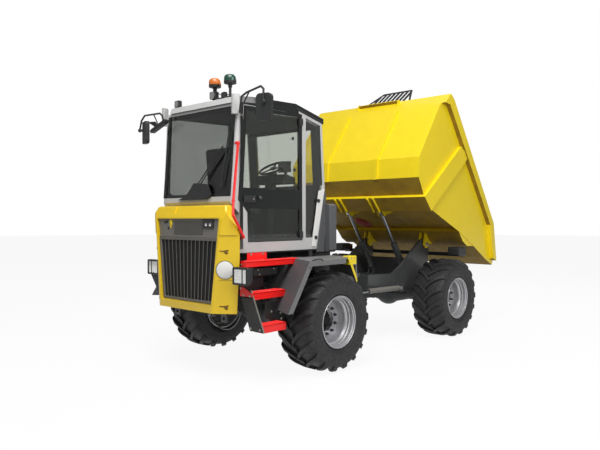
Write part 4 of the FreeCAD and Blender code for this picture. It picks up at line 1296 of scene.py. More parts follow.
@dataclass
class Headlamps:
    """Square headlamps with two fluted reflectors in a black housing."""

    body: str = "front_unit"
    face: float = 1185.0
    back_shift: float = 108.0
    flute_mm: float = 13.0

    def build(self) -> None:
        """Build both lamps and their brackets."""
        parts = (
            (self.housing(), BLACK_PLASTIC, Slot.BLACK),
            (self.reflectors(), SILVER_LENS, None),
        )
        for side, name in ((1, "left"), (-1, "right")):
            for source, finish, slot in parts:
                title = f"{source.name}_{name}"
                if side > 0:
                    twin = Bench.copied(source, title)
                else:
                    twin = Bench.mirrored(source, title)
                    twin.data.transform(Matrix.Translation((-self.back_shift * MM, 0, 0)))
                dress(twin, finish, self.body)
        for source, *_ in parts:
            bpy.data.objects.remove(source)
        brackets = Bench.joined("lamp_brackets", [self.left_bracket(), *self.right_bracket()])
        dress(brackets, BLACK_PLASTIC, self.body)
        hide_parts("headlamps")

    def housing(self) -> Piece:
        """Model the housing: a tapered box with a deep rim round the lens."""
        face = self.face
        back = Bench.block("lamp_back", (face - 100, 752, 1076), (face - 34, 956, 1231), 22, 4)
        rim = Bench.block("lamp_rim", (face - 58, 741, 1062), (face - 6, 967, 1245), 16, 4)
        bars = [
            Bench.block("bar", (face - 12, y0, z0), (face + 6, y1, z1), 6, 3)
            for y0, y1, z0, z1 in (
                (741, 764, 1066, 1241),
                (944, 967, 1066, 1241),
                (746, 962, 1062, 1082),
                (746, 962, 1225, 1245),
            )
        ]
        bars.append(Bench.block("bar", (face - 10, 881, 1070), (face + 3, 893, 1238), 3, 2))
        return Bench.joined("lamp_housing", [back, rim, *bars])

    def reflectors(self) -> Piece:
        """Model the two fluted panes, each in its own frame."""
        face = self.face
        made = []
        for y0, y1 in ((762, 883), (891, 946)):
            made.append(Bench.block("pane", (face - 8, y0, 1080), (face - 3, y1, 1227), 1, 1))
            count = max(3, int((y1 - y0) / self.flute_mm))
            pitch = (y1 - y0 - 8) / count
            for index in range(count):
                y, half = y0 + 4 + pitch * (index + 0.5), pitch * 0.42
                made.append(
                    Bench.block("flute", (face - 5, y - half, 1084), (face, y + half, 1223), 2.4, 3)
                )
        return Bench.joined("lamp_reflectors", made)

    def left_bracket(self) -> Piece:
        """Model the arm that holds the left lamp on the steps."""
        arm = Bench.block("arm", (1060, 762, 1042), (1095, 828, 1198), 5, 2)
        lug = Bench.block("lug", (1061, 905, 1228), (1170, 940, 1236), 2, 1)
        return Bench.joined("left_bracket", [arm, lug])

    def right_bracket(self) -> list[Piece]:
        """Model the web plate that holds the right lamp."""
        outline = (
            (-690, 1110), (-940, 1110), (-940, 1066), (-740, 800),
            (-706, 800), (-706, 1045), (-690, 1045),
        )
        plate = Bench.plate("web", on_x(1041, outline), (12, 0, 0), 2, 1)
        rings = ((0, 14), (6, 14), (9, 10), (24, 10))
        return [plate, Bench.drum("pin", (1053, -850, 1088), AHEAD, rings, 16)]


@dataclass
class Steps:
    """Red treads of punched plate on black side plates, with their bolts."""

    body: str = "front_unit"
    teeth_mm: float = 27.0
    tooth_rows: int = 4
    margin_mm: float = 24.0
    treads: Sequence[tuple[Point, Point]] = (
        ((226, 692, 1232), (1049, 800, 1300)),
        ((560, 772, 897), (1051, 910, 978)),
        ((706, 926, 567), (1044, 1058, 655)),
    )

    def build(self) -> None:
        """Build and dress the steps."""
        red = [piece for low, high in self.treads for piece in self.tread(low, high)]
        treads = Bench.joined("step_treads", [*red, *self.red_plates()])
        dress(treads, RED, self.body)
        plates = Bench.joined("step_plates", self.side_plates())
        dress(plates, STEP_BLACK, self.body)
        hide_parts("steps")
        # The zinc strip on the plate's edge is a painted highlight.
        dress(self.painted_highlight_edge(), ZINC, self.body)
        dress(Bench.joined("step_bolts", self.bolts()), ZINC, self.body)

    def tread(self, low: Point, high: Point) -> list[Piece]:
        """Model one tread: a folded channel with rows of raised teeth and a side bead.

        Args:
            low: Its lowest corner.
            high: Its highest corner, at the tips of the teeth.

        Returns:
            The channel, its teeth and its bead.
        """
        top = high[2] - 4
        made = [Bench.block("tread", low, (high[0], high[1], top), 5, 2)]
        count = int((high[0] - low[0] - self.margin_mm) / self.teeth_mm)
        tooth = Bench.drum("tooth", (0, 0, 0), UP, ((0, 10), (3, 9), (4, 7.5), (1.5, 5.5)), 8)
        for row in range(self.tooth_rows):
            y = low[1] + (high[1] - low[1]) * (row + 0.5) / self.tooth_rows
            for index in range(count):
                x = low[0] + self.margin_mm + (index + 0.5 * (row % 2)) * self.teeth_mm
                if x < high[0] - 10:
                    made.append(Bench.copied(tooth, "tooth", (x, y, top)))
        bpy.data.objects.remove(tooth)
        bead = high[2] - 10
        ends = ((low[0], high[1] - 3, bead - 8), (high[0], high[1], bead))
        made.append(Bench.block("bead", *ends, 1.4, 2))
        return made


    def red_plates(self) -> list[Piece]:
        """Model the riser over the top tread, the middle gusset and the top end plate."""
        riser = Bench.block("riser", (640, 690, 1298), (936, 698, 1378), 3, 1)
        outline = ((722, 1030), (760, 1030), (932, 957), (905, 930), (722, 930))
        gusset = Bench.plate("gusset", on_x(1058, outline), (8, 0, 0), 2, 1)
        outline = ((700, 1300), (790, 1300), (800, 1236), (700, 1236))
        end = Bench.plate("end", on_x(1044, outline), (6, 0, 0), 2, 1)
        return [riser, gusset, end]

    def side_plates(self) -> list[Piece]:
        """Model the black plates that carry the treads, and the electric box."""
        front = ((700, 1000), (885, 1000), (1075, 575), (870, 575))
        lower = (
            (880, 862), (660, 862), (735, 740), (600, 740),
            (588, 640), (600, 620), (720, 620), (880, 690),
        )
        back = ((705, 1000), (770, 1000), (925, 685), (925, 600), (860, 600))
        shelf = ((722, 930), (905, 930), (905, 915), (722, 915))
        return [
            Bench.plate("front_plate", on_x(1046, front), (14, 0, 0), 3, 2),
            Bench.block("hanger", (700, 691, 882), (1046, 705, 1234), 3, 1),
            Bench.plate("lower_plate", on_y(907, lower), (0, 12, 0), 3, 2),
            Bench.plate("back_plate", on_x(730, back), (14, 0, 0), 2, 1),
            Bench.block("electric_box", (560, 703, 1128), (925, 788, 1211), 10, 3),
            Bench.block("box_lid", (556, 704, 1198), (929, 790, 1212), 4, 2),
            Bench.block("cross_arm", (930, 602, 1042), (1046, 699, 1118), 5, 2),
            Bench.plate("shelf", on_x(1046, shelf), (14, 0, 0), 2, 1),
        ]

    def painted_highlight_edge(self) -> Piece:
        """Model a bright zinc strip along the front plate's edge: a painted highlight where the edge
        catches the light.
        """
        corners = [(1044, 887, 1000), (1062, 887, 1000), (1062, 1077, 576), (1044, 1077, 576)]
        return Bench.plate("plate_edge_highlight", corners, (0, 2, 0), 0.6, 1)

    def bolts(self) -> list[Piece]:
        """Model the bolt heads on the plates."""
        head = ((0, 14), (2, 14), (2.2, 10), (9, 10), (11, 7))
        small = ((0, 9), (2, 9), (3, 6))
        ahead = (
            (1064, 780, 941), (1064, 875, 940), (1059, 887, 605),
            (1059, 1024, 602), (1064, 735, 1016), (1049, 733, 1262),
        )
        left = on_y(918, ((791, 754), (652, 725), (640, 660)))
        left += on_y(697, ((700, 1360), (880, 1360)))
        box = on_y(789, ((620, 1196), (860, 1196), (840, 1146)))
        return [
            *(Bench.drum("bolt", place, AHEAD, head, 6) for place in ahead),
            *(Bench.drum("bolt", place, LEFT, head, 6) for place in left),
            *(Bench.drum("bolt", place, LEFT, small, 12) for place in box),
        ]


@dataclass
class Mudguards:
    """Grey moulded mudguards with a grab loop and yellow end blocks."""

    body: str = "front_unit"
    outer: float = 1106.0
    loop_y: float = 1211.0

    def build(self) -> None:
        """Build and dress the mudguards."""
        guards = Bench.softened("front_fenders", "mudguards", 9, 3)
        dress(guards, MID_GREY, self.body)
        self.line_wells(guards)
        dress(self.loops(), BLACK_PLASTIC, self.body)
        dress(self.end_blocks(), YELLOW, self.body)
        dress(self.screws(), ZINC, self.body)

    def loops(self) -> Piece:
        """Model the grab loops with a boss at each end."""
        made = []
        route = ((509, 1234), (470, 1290), (400, 1305), (330, 1306), (287, 1298))
        for side in SIDES:
            y = side * self.loop_y
            made.append(Bench.pipe("loop", on_y(y, route), 8, 10, 22))
            made.append(Bench.drum("boss", (287, y, 1288), UP, ((0, 16), (5, 16), (7, 12)), 16))
            made.append(Bench.drum("boss", (507, y, 1222), (2, 0, 8), ((0, 15), (6, 15), (8, 11)), 16))
        return Bench.joined("mudguard_loops", made)

    def end_blocks(self) -> Piece:
        """Model the yellow blocks and strips at the mudguards' rear ends."""
        made = []
        outline = ((-290, 1292), (-336, 1232), (-478, 983), (-490, 990), (-479, 1050), (-350, 1292))
        for side in SIDES:
            low, high = (-479, 1000, 1198), (-336, self.outer, 1304)
            made.append(Bench.side_block("block", side, low, high, 10, 3))
            corners = on_y(side * (self.outer - 2), outline)
            made.append(Bench.plate("strip", corners, (0, side * 4, 0), 1.2, 1))
        return Bench.joined("mudguard_end_blocks", made)

    def screws(self) -> Piece:
        """Model the screws that hold the yellow blocks."""
        head = ((0, 9), (3, 9), (5, 5))
        made = [
            Bench.drum("screw", (x, side * self.outer, 1276), (0, side, 0), head, 12)
            for side in SIDES
            for x in (-372, -440)
        ]
        return Bench.joined("mudguard_screws", made)

    def line_wells(self, guards: Piece) -> None:
        """Paint the faces that look down or at the tyre black as painted shade in the wells, and the
        slope a darker grey as painted shade.

        Args:
            guards: The mudguards' copy.
        """

        def faces_in_well_shade(face: Face) -> bool:
            """Tell whether a face looks at the tyre."""
            ahead_of_tyre = face.normal.x < -0.5 and face.center.x > ORIGIN_X + 400 * MM
            return face.normal.z < -0.25 or ahead_of_tyre

        def on_slope(face: Face) -> bool:
            """Tell whether a face belongs to the slope towards the nose."""
            return face.normal.x > 0.3 and face.center.x > ORIGIN_X + 200 * MM

        # Black painted shade under the mudguards and towards the tyres.
        recoat(guards, SEAL_AND_WELL_SHADE, faces_in_well_shade)
        # The slope towards the nose takes the darker grey as painted shade.
        recoat(guards, DARK_GREY_SLOPE_SHADE, lambda face: on_slope(face) and not faces_in_well_shade(face))


# ------------------------------------------------------------------ cab


@dataclass
class Cab:
    """Welded cab with black glass borders, dark painted shade on its inner faces, and blank sill."""

    body: str = "front_unit"
    half: float = 660.0
    wall: float = 40.0
    rear_half: float = 500.0
    rear_z: Pair = (2170.0, 2860.0)
    black_side_x: float = 980.0
    cover_foot_z: float = 1360.0
    lean: float = 85.0 / 1065.0
    border_low: float = 34.0
    border_top: float = 52.0
    border_side: float = 26.0

    def build(self) -> None:
        """Build and dress the cab."""
        shell = Bench.softened("cab_frame", "cab_shell", 0)
        self.open_rear(shell)
        Bench.bevel(shell, 6, 2)
        dress(shell, LIGHT_GREY, self.body)
        self.line_inside(shell)
        roof = Bench.softened("cab_roof", "roof", 8, 3)
        dress(roof, LIGHT_GREY, self.body)
        nose = self.black_side_x * MM + ORIGIN_X
        recoat(roof, GLOSS_BLACK, lambda face: abs(face.normal.y) > 0.6 and face.center.x < nose)
        dress(self.screen_border(), GLOSS_BLACK, self.body)
        dress(self.rear_edge(), BLACK_PLASTIC, self.body)
        dress(self.slanted_post(), WHITE, self.body)
        dress(self.post_knobs(), BLACK_PLASTIC, self.body)
        covers = Bench.softened("rear_covers", "air_cleaner_covers", 10, 3)
        dress(covers, DARK_GREY_SLOPE_SHADE, self.body)
        recoat(covers, SEAL_AND_WELL_SHADE, lambda face: face.center.z < self.cover_foot_z * MM)
        dress(self.seals(), SEAL_AND_WELL_SHADE, self.body)

    def open_rear(self, shell: Piece) -> None:
        """Cut the rear window's opening through the whole sloping wall.

        Args:
            shell: The cab's shell.
        """
        half, (low, high) = self.rear_half, self.rear_z
        cutter = Bench.block("cutter", (-460, -half, low), (-255, half, high), 1, 1)
        Bench.applied(shell, "BOOLEAN", operation="DIFFERENCE", solver="EXACT", object=cutter)
        bpy.data.objects.remove(cutter)

    def line_inside(self, shell: Piece) -> None:
        """Paint the faces inside the cab dark as painted shade.

        Args:
            shell: The cab's shell.
        """
        inner = (self.half - self.wall + 8) * MM
        low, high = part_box("cab_frame")
        middle = Vector(((low.x + high.x) / 2, 0, (low.z + high.z) / 2))

        def is_inside(face: Face) -> bool:
            """Tell whether a face looks into the cab."""
            return abs(face.center.y) < inner and (middle - face.center).dot(face.normal) > 0

        recoat(shell, TRIM_AND_CAB_SHADE, is_inside)

    def screen_border(self) -> Piece:
        """Model the black print round the windscreen, the door's front and the header."""
        low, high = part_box("windscreen")
        foot_x = (high.x - ORIGIN_X) / MM + 1
        half, bottom, top = high.y / MM, low.z / MM, high.z / MM
        rise = top - bottom
        top_x = foot_x - self.lean * rise

        def strip(y0: float, y1: float, z0: float, z1: float, ahead: float = 0.0) -> list[Point]:
            """Return a strip's corners on the leaning pane.

            Args:
                y0: Its first side.
                y1: Its second side.
                z0: Its lower edge.
                z1: Its upper edge.
                ahead: How far it stands before the pane.

            Returns:
                Four corners in order.
            """
            x0, x1 = (foot_x + (top_x - foot_x) * (z - bottom) / rise + ahead for z in (z0, z1))
            return [(x0, y0, z0), (x0, y1, z0), (x1, y1, z1), (x1, y0, z1)]

        pane = (
            strip(-half, half, bottom, bottom + self.border_low),
            strip(-half, half, top - self.border_top, top),
            strip(-half, -half + self.border_side, bottom, top),
            strip(half - self.border_side, half, bottom, top),
        )
        strips = [Bench.plate("strip", corners, (2, 0, 0), 0.6, 1) for corners in pane]
        for side in SIDES:
            y0, y1 = side * (half - 1), side * (half + self.border_side)
            corners = strip(y0, y1, bottom + 2, top - 2, 10)
            strips.append(Bench.plate("strip", corners, (3, 0, 0), 0.6, 1))
        post = ((962, 1425), (1006, 1425), (1006, 2250), (996, 2860), (962, 2860))
        header = (
            (70, 2990), (70, 3046), (120, 3038), (816, 3014),
            (992, 3002), (992, 2868), (962, 2868), (955, 2984),
        )
        for outline in (post, header):
            for side in SIDES:
                corners = on_y(side * (self.half - 1), outline)
                strips.append(Bench.plate("strip", corners, (0, side * 3, 0), 0.6, 1))
        return Bench.joined("windscreen_border", strips)

    def rear_edge(self) -> Piece:
        """Model the black edge along the roof's falling rear part and across its end."""
        made = []
        outline = ((118, 3042), (118, 3062), (-388, 2944), (-376, 2922))
        for side in SIDES:
            corners = on_y(side * (self.half + 1), outline)
            made.append(Bench.plate("edge", corners, (0, side * 5, 0), 1.5, 1))
        made.append(Bench.block("tail", (-394, -652, 2918), (-384, 652, 2950), 4, 2))
        return Bench.joined("roof_rear_edge", made)

    def slanted_post(self) -> Piece:
        """Model the pale slanted covers of the lower rear posts."""
        made = []
        outline = ((-285, 2092), (-396, 2116), (-253, 1508), (-232, 1412), (-160, 1412), (-175, 1530))
        for side in SIDES:
            corners = on_y(side * (self.half + 1), outline)
            made.append(Bench.plate("post", corners, (0, side * 12, 0), 4, 2))
        return Bench.joined("slanted_posts", made)

    def post_knobs(self) -> Piece:
        """Model the rubber knobs on the slanted posts."""
        knob = ((0, 24), (10, 24), (16, 18), (17, 6))
        made = [
            Bench.drum("knob", place, (0, side, 0), knob, 24)
            for side in SIDES
            for place in on_y(side * (self.half + 11), ((-275, 1968), (-225, 1520)))
        ]
        return Bench.joined("post_knobs", made)

    def seals(self) -> Piece:
        """Model the rubber strips between the cab and the mudguards."""
        low, high = (-236, 640, 1366), (980, 676, 1380)
        made = [Bench.side_block("seal", side, low, high, 4, 2) for side in SIDES]
        return Bench.joined("cab_seals", made)


@dataclass
class Door:
    """Glass door with a black border, a belt band, its handle and dampers."""

    body: str = "door"
    lock: Pair = (717, 1984)
    hinges: Sequence[Pair] = ((30, 2900), (30, 1560))
    stays: Sequence[Pair] = ((182, 2687), (153, 2322))

    def build(self) -> None:
        """Build and dress the door."""
        dress(Bench.softened("door_frame", "door_border", 2, 2), GLOSS_BLACK, self.body)
        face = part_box("door_frame")[1].y / MM - 2
        dress(self.handle(face), BLACK_PLASTIC, self.body)
        x, z = self.lock
        rings = ((0, 27), (8, 27), (13, 21), (9, 19), (8, 4))
        knob = Bench.drum("door_lock", (x, face - 1, z), LEFT, rings, 28)
        dress(knob, BLACK_PLASTIC, self.body)
        keys = [
            Bench.drum("key", (826, face + 13, 1963), LEFT, ((0, 9), (3, 9), (4, 6)), 16),
            Bench.drum("key", (x, face + 8, z), LEFT, ((0, 10), (4, 9), (5, 5)), 16),
        ]
        dress(Bench.joined("door_keys", keys), ZINC, self.body)
        dress(self.fittings(face), BLACK_PLASTIC, self.body)

    @staticmethod
    def handle(face: float) -> Piece:
        """Model the recessed handle on the belt band.

        Args:
            face: Y of the door's outer face.

        Returns:
            The handle.
        """
        blocks = [
            Bench.block("handle_plate", (788, face, 1927), (961, face + 8, 2001), 8, 3),
            Bench.block("handle_cup", (806, face + 5, 1938), (846, face + 15, 1990), 8, 3),
            Bench.block("handle_grip", (860, face + 5, 1944), (946, face + 13, 1966), 5, 3),
        ]
        return Bench.joined("door_handle", blocks)

    def fittings(self, face: float) -> Piece:
        """Model the two hinges and the round fittings of the gas stay.

        Args:
            face: Y of the door's outer face.

        Returns:
            The fittings.
        """
        made = [
            Bench.block("hinge", (x - 26, face - 8, z - 40), (x + 34, face + 6, z + 40), 6, 3)
            for x, z in self.hinges
        ]
        stay = ((0, 20), (8, 20), (12, 14), (12, 4))
        made += [Bench.drum("stay", place, LEFT, stay, 24) for place in on_y(face - 6, self.stays)]
        return Bench.joined("door_fittings", made)


@dataclass
class CabFront:
    """Wipers and the red handrail with its clamps."""

    body: str = "front_unit"
    clamps: Sequence[Point] = ((1060, 692, 2545), (1128, 692, 1940), (1046, 750, 1565))

    def build(self) -> None:
        """Build and dress the pieces."""
        dress(Bench.softened("wipers", "wiper_set", 1.5, 2), BLACK_PLASTIC, self.body)
        dress(Bench.softened("handrail", "red_handrail", 0, 1), RED, self.body)
        dress(self.bosses(), RED, self.body)

    def bosses(self) -> Piece:
        """Model the handrail's clamps at its ends and at the bend."""
        rings = ((0, 14), (26, 14), (30, 10), (30, 3))
        made = [Bench.drum("boss", (x, y - 14, z), LEFT, rings, 20) for x, y, z in self.clamps]
        return Bench.joined("handrail_bosses", made)


@dataclass
class RoofGear:
    """Mirrors, beacons and small lamps on the roof."""

    body: str = "front_unit"
    beacon_x: float = 950.0
    beacon_radius: float = 70.0
    roof_z: float = 3079.0
    wide_mirror: Point = (1121, -650, 2858)
    wide_tilt: float = 19.0
    wide_slimming: float = 0.74
    wide_reach: Point = (30, 172, 97)
    head_depth: float = 22.0

    def build(self) -> None:
        """Build and dress the pieces."""
        dress(self.heads(), BLACK_PLASTIC, self.body)
        dress(self.mirror_glass(), DARKENED_CHROME, self.body)
        dress(self.clamps(), BLACK_PLASTIC, self.body)
        self.beacons()
        self.lamps()

    def heads(self) -> Piece:
        """Copy the mirrors and make the wide one slim across its own plane."""
        piece = Bench.softened("mirrors", "mirror_set", 0)
        tilt = math.radians(self.wide_tilt)
        across = Vector((0, math.cos(tilt), math.sin(tilt)))
        upward = Vector((0, -math.sin(tilt), math.cos(tilt)))
        middle = at(*self.wide_mirror)
        deep, half, tall = self.wide_reach
        for vertex in piece.data.vertices:
            offset = vertex.co - middle
            wide, high = offset.dot(across) / MM, offset.dot(upward) / MM
            if abs(wide) < half and abs(high) < tall and abs(offset.x) < deep * MM:
                vertex.co -= upward * high * self.wide_slimming * MM
        return Bench.bevel(piece, 4, 2)

    def mirror_glass(self) -> Piece:
        """Model the silvered panes on the rear faces of the heads."""
        made = []
        for x, y0, y1, z0, z1, angle in (
            (1079, 1052, 1214, 2752, 3002, 15),
            (1083, -1044, -870, 2686, 2940, -20),
        ):
            pane = Bench.block("pane", (x - 2, y0, z0), (x + 2, y1, z1), 1.5, 1)
            middle = at(x + self.head_depth, (y0 + y1) / 2, 0)
            turn = Matrix.Translation(middle) @ Matrix.Rotation(math.radians(angle), 4, "Z")
            pane.data.transform(turn @ Matrix.Translation(-middle))
            made.append(pane)
        return Bench.joined("mirror_panes", made)

    def clamps(self) -> Piece:
        """Model the ball clamps that hold the heads on their tubes."""
        ball = ((0, 12), (6, 22), (16, 26), (26, 22), (32, 12))
        places = ((1114, 1146, 2925), (1092, -1087, 2852))
        made = [Bench.drum("clamp", place, AHEAD, ball, 24) for place in places]
        return Bench.joined("mirror_clamps", made)

    def dome(self, name: str, y: float, top: float, finish: Finish) -> None:
        """Model one beacon: a ribbed rubber foot and a domed lens.

        Args:
            name: The lens's name.
            y: Its place across the machine.
            top: Height of its top.
            finish: The lens's colour.
        """
        x, r, roof = self.beacon_x, self.beacon_radius, self.roof_z
        foot = top - 108
        stem_end = foot - roof
        rings = ((0, r - 3), (8, r - 1), (48, r - 3), (62, r - 10), (72, r - 24), (77, r - 46), (78, 6))
        lens = Bench.drum(name, (x, y, foot + 30), UP, rings, 40)
        dress(lens, finish, self.body)
        ribs = (
            (0, 40), (3, 58), (8, r), (14, r), (16, r - 4),
            (22, r - 4), (24, r), (31, r), (33, r - 5), (33, 20),
        )
        base = Bench.drum(name + "_base", (x, y, foot), UP, ribs, 40)
        rings = (
            (0, 26), (6, 26), (8, 15),
            (stem_end - 40, 15), (stem_end - 34, 22), (stem_end + 2, 24),
        )
        stem = Bench.drum(name + "_stem", (x, y, roof), UP, rings, 20)
        rings = ((0, 22), (20, 20), (26, 24), (40, 12), (40, 3))
        lamp = Bench.drum(name + "_bulb", (x, y, foot + 34), UP, rings, 20)
        dress(Bench.joined(name + "_foot", [base, stem]), BLACK_PLASTIC, self.body)
        dress(lamp, SILVER_LENS, self.body)
        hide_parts("beacons")

    def beacons(self) -> None:
        """Model the amber and the green beacon with their rail and bracket."""
        self.dome("amber_beacon", 181, 3333, ORANGE_LENS)
        self.dome("green_beacon", 440, 3338, GREEN_LENS)
        x, z = self.beacon_x, self.roof_z
        rail = [
            Bench.pipe("rail", [(x, y, z + 14) for y in (152, 330, 513)], 13, 14, 20),
            Bench.block("bracket", (x - 18, 302, z + 1), (x + 18, 378, z + 76), 8, 3),
            Bench.block("plug", (x - 14, 318, z + 70), (x + 14, 362, z + 80), 4, 2),
        ]
        dress(Bench.joined("beacon_rail", rail), CAST, self.body)
        routes = (
            [(x + 6, 186, z + 112), (x - 16, 250, z + 66), (x - 10, 320, z + 40)],
            [(x - 8, 438, z + 40), (x - 24, 410, z + 52), (x - 12, 372, z + 40)],
        )
        cable = [Bench.pipe("lead", route, 5, 8, 30) for route in routes]
        dress(Bench.joined("beacon_leads", cable), BLACK_PLASTIC, self.body)

    def lamps(self) -> None:
        """Model the two work lamps, each with a bezel, cooling fins and a round pane."""
        shells, panes = [], []
        x, roof = self.beacon_x, self.roof_z
        for y0, y1, z0, z1, half in ((113, 215, roof + 19, 3185, 35), (-555, -463, 3086, 3171, 30)):
            face, back = x + half, x - half
            shells.append(Bench.block("shell", (back, y0, z0), (face - 4, y1, z1), 14, 4))
            radius = (y1 - y0) / 2 - 10
            middle = (face - 6, (y0 + y1) / 2, (z0 + z1) / 2)
            rings = ((0, radius), (3, radius), (4, radius - 4), (5, 6))
            panes.append(Bench.drum("pane", middle, AHEAD, rings, 28))
            for z in (z0 + 12, z0 + 36, z0 + 60):
                low, high = (back - 2, y0 + 10, z), (back + 8, y1 - 10, z + 8)
                shells.append(Bench.block("fin", low, high, 2, 1))
        post = ((0, 16), (3, 16), (4, 9), (12, 9))
        shells.append(Bench.drum("post", (x, -505, roof), UP, post, 16))
        dress(Bench.joined("work_lamps", shells), BLACK_PLASTIC, self.body)
        dress(Bench.joined("work_lamp_panes", panes), SILVER_LENS, self.body)


@dataclass
class Interior:
    """Seat, console and steering wheel behind the tinted panes."""

    body: str = "front_unit"
    grid_mm: float = 9.6
    quick_grid_mm: float = 24.0
    swell_mm: float = 8.4
    pressure: float = 4.0
    cloth_steps: int = 20
    back_hinge: Point = (690, 0, 1930)
    lever_place: Point = (330, -315, 1988)

    def build(self) -> None:
        """Build and dress the pieces."""
        cushion = self.pad("seat_cushion", (266, -232, 1806), (714, 232, 1922), 40)
        back = self.pad("seat_back", (650, -222, 1946), (734, 222, 2584), 36)
        hinge = at(*self.back_hinge)
        turn = Matrix.Translation(hinge) @ Matrix.Rotation(math.radians(4), 4, "Y")
        back.data.transform(turn @ Matrix.Translation(-hinge))
        for piece in (cushion, back):
            dress(piece, FABRIC, self.body)
        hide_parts("seat")
        dress(Bench.softened("console", "driver_console", 8, 3), TRIM_AND_CAB_SHADE, self.body)
        wheel = Bench.softened("steering_wheel", "wheel_rim", 1.5, 2)
        dress(wheel, BLACK_PLASTIC, self.body)
        dress(self.screen(), GLOSS_BLACK, self.body)
        dress(self.lever(), BLACK_PLASTIC, self.body)

    def pad(self, name: str, low: Point, high: Point, round_mm: float) -> Piece:
        """Make one stuffed pad, swollen by cloth pressure.

        Args:
            name: The pad's name.
            low: Lowest corner.
            high: Highest corner.
            round_mm: Rounding of the pad before it swells.

        Returns:
            The pad.
        """
        piece = Bench.block(name, low, high, round_mm, 4)
        grid = self.grid_mm
        Bench.applied(piece, "REMESH", mode="VOXEL", voxel_size=grid * MM)
        self.swell(piece)
        return Bench.shaded(piece, 60)

    def swell(self, piece: Piece) -> None:
        """Blow a pad up as cloth, hold it near its first shape and settle it.

        Args:
            piece: The pad.
        """
        rest = [vertex.co.copy() for vertex in piece.data.vertices]
        cloth = piece.modifiers.new("stuffing", "CLOTH")
        cloth.settings.use_pressure = True
        cloth.settings.uniform_pressure_force = self.pressure
        cloth.settings.effector_weights.gravity = 0.0
        cloth.settings.quality = 5
        cloth.point_cache.frame_end = self.cloth_steps
        for step in range(1, self.cloth_steps + 1):
            bpy.context.scene.frame_set(step)
        Bench.only(piece)
        bpy.ops.object.modifier_apply(modifier=cloth.name)
        bpy.context.scene.frame_set(1)
        cap = self.swell_mm * MM
        for vertex, start in zip(piece.data.vertices, rest):
            move = vertex.co - start
            if move.length > cap:
                vertex.co = start + move.normalized() * cap
        Bench.applied(piece, "SMOOTH", factor=0.5, iterations=4)

    def screen(self) -> Piece:
        """Model the display with its foot."""
        made = [
            Bench.block("display", (-150, 120, 2330), (-128, 330, 2470), 6, 3),
            Bench.block("foot", (-170, 205, 2250), (-150, 245, 2360), 4, 2),
        ]
        return Bench.joined("driver_display", made)

    def lever(self) -> Piece:
        """Model the joystick on the side console."""
        x, y, z = self.lever_place
        boot = ((0, 38), (10, 34), (22, 20), (26, 10))
        grip = ((0, 8), (60, 8), (64, 20), (100, 24), (128, 20), (136, 8))
        made = [
            Bench.drum("boot", (x, y, z), UP, boot, 20),
            Bench.drum("stick", (x, y, z + 22), (-8, 0, 50), grip, 20),
        ]
        return Bench.joined("drive_lever", made)


# ------------------------------------------------------------------ rear unit


@dataclass
class Skip:
    """Welded yellow skip with its guard and the red prop under its floor."""

    body: str = "skip"
    dish_place: Point = (-2775, -480, 1686)
    dish_radius: float = 125.0
    dish_length: float = 1.5
    floor_slope: Point = (-1000, 0, -393)

    def build(self) -> None:
        """Build and dress the pieces."""
        shell = Bench.softened("skip_body", "skip_shell", 3, 2)
        dress(shell, YELLOW, self.body)
        # Faces that look down get a darker brownish yellow: painted shade under the skip.
        recoat(shell, YELLOW_UNDERSIDE_SHADE, lambda face: face.normal.z < -0.25)
        guard = Bench.softened("skip_guard", "slatted_guard", 1.5, 2)
        dress(guard, MATT_BLACK_AND_HUB_SHADE, self.body)
        dress(self.oval(), DARK_RED, self.body)

    def oval(self) -> Piece:
        """Model the oval red dish bolted under the floor."""
        slope = Vector(self.floor_slope).normalized()
        normal = Vector((-slope.z, 0, slope.x))
        centre = Vector(self.dish_place) + normal
        r = self.dish_radius
        rings = ((-4, r), (6, r), (16, r - 10), (24, 88), (28, 44), (28, 8))
        dish = Bench.drum("red_dish", tuple(centre), tuple(normal), rings, 40)
        place = Matrix.Translation(at(*centre))
        dish.data.transform(place @ Matrix.Scale(self.dish_length, 4, slope) @ place.inverted())
        return dish


@dataclass
class RearUnit:
    """Rear frame, lamp bar with tail lenses, cylinders and hinge pins."""

    body: str = "rear_unit"

    def build(self) -> None:
        """Build and dress the pieces."""
        dress(Bench.softened("rear_frame", "rear_chassis", 3, 2), FRAME_GREY, self.body)
        dress(Bench.softened("light_bar", "lamp_bar", 6, 2), BLACK_PLASTIC, self.body)
        dress(self.tail_lenses(), DARK_RED, self.body)
        for side in ("left", "right"):
            barrel = Bench.softened(f"tip_barrel_{side}", f"barrel_{side}_tube", 2, 2)
            dress(barrel, FRAME_GREY, f"barrel_{side}")
        tube = Bench.softened("steer_barrel", "steering_tube", 2, 2)
        dress(tube, PANEL_GREY, "steering_barrel")
        dress(self.pins(), ZINC, self.body)

    def tail_lenses(self) -> Piece:
        """Model the tail lamps' lenses on the rear faces of the lamp boxes."""
        back = (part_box("light_bar")[0].x - ORIGIN_X) / MM
        made = [
            Bench.side_block("lens", side, (back - 2, y, 1212), (back + 1, y + 62, 1300), 1, 1)
            for side in SIDES
            for y in (1012, 1082)
        ]
        return Bench.joined("tail_lenses", made)

    def pins(self) -> Piece:
        """Model the ends of the hinge pins with their keeper plates."""
        made = []
        head = ((0, 34), (10, 34), (13, 28), (13, 6))
        for side in SIDES:
            made.append(Bench.drum("pin", (-2980, side * 592, 1350), (0, side, 0), head, 28))
            low, high = (-3050, 592, 1338), (-2985, 597, 1362)
            made.append(Bench.side_block("keeper", side, low, high, 2, 1))
        return Bench.joined("hinge_pins", made)


# ------------------------------------------------------------------ studio


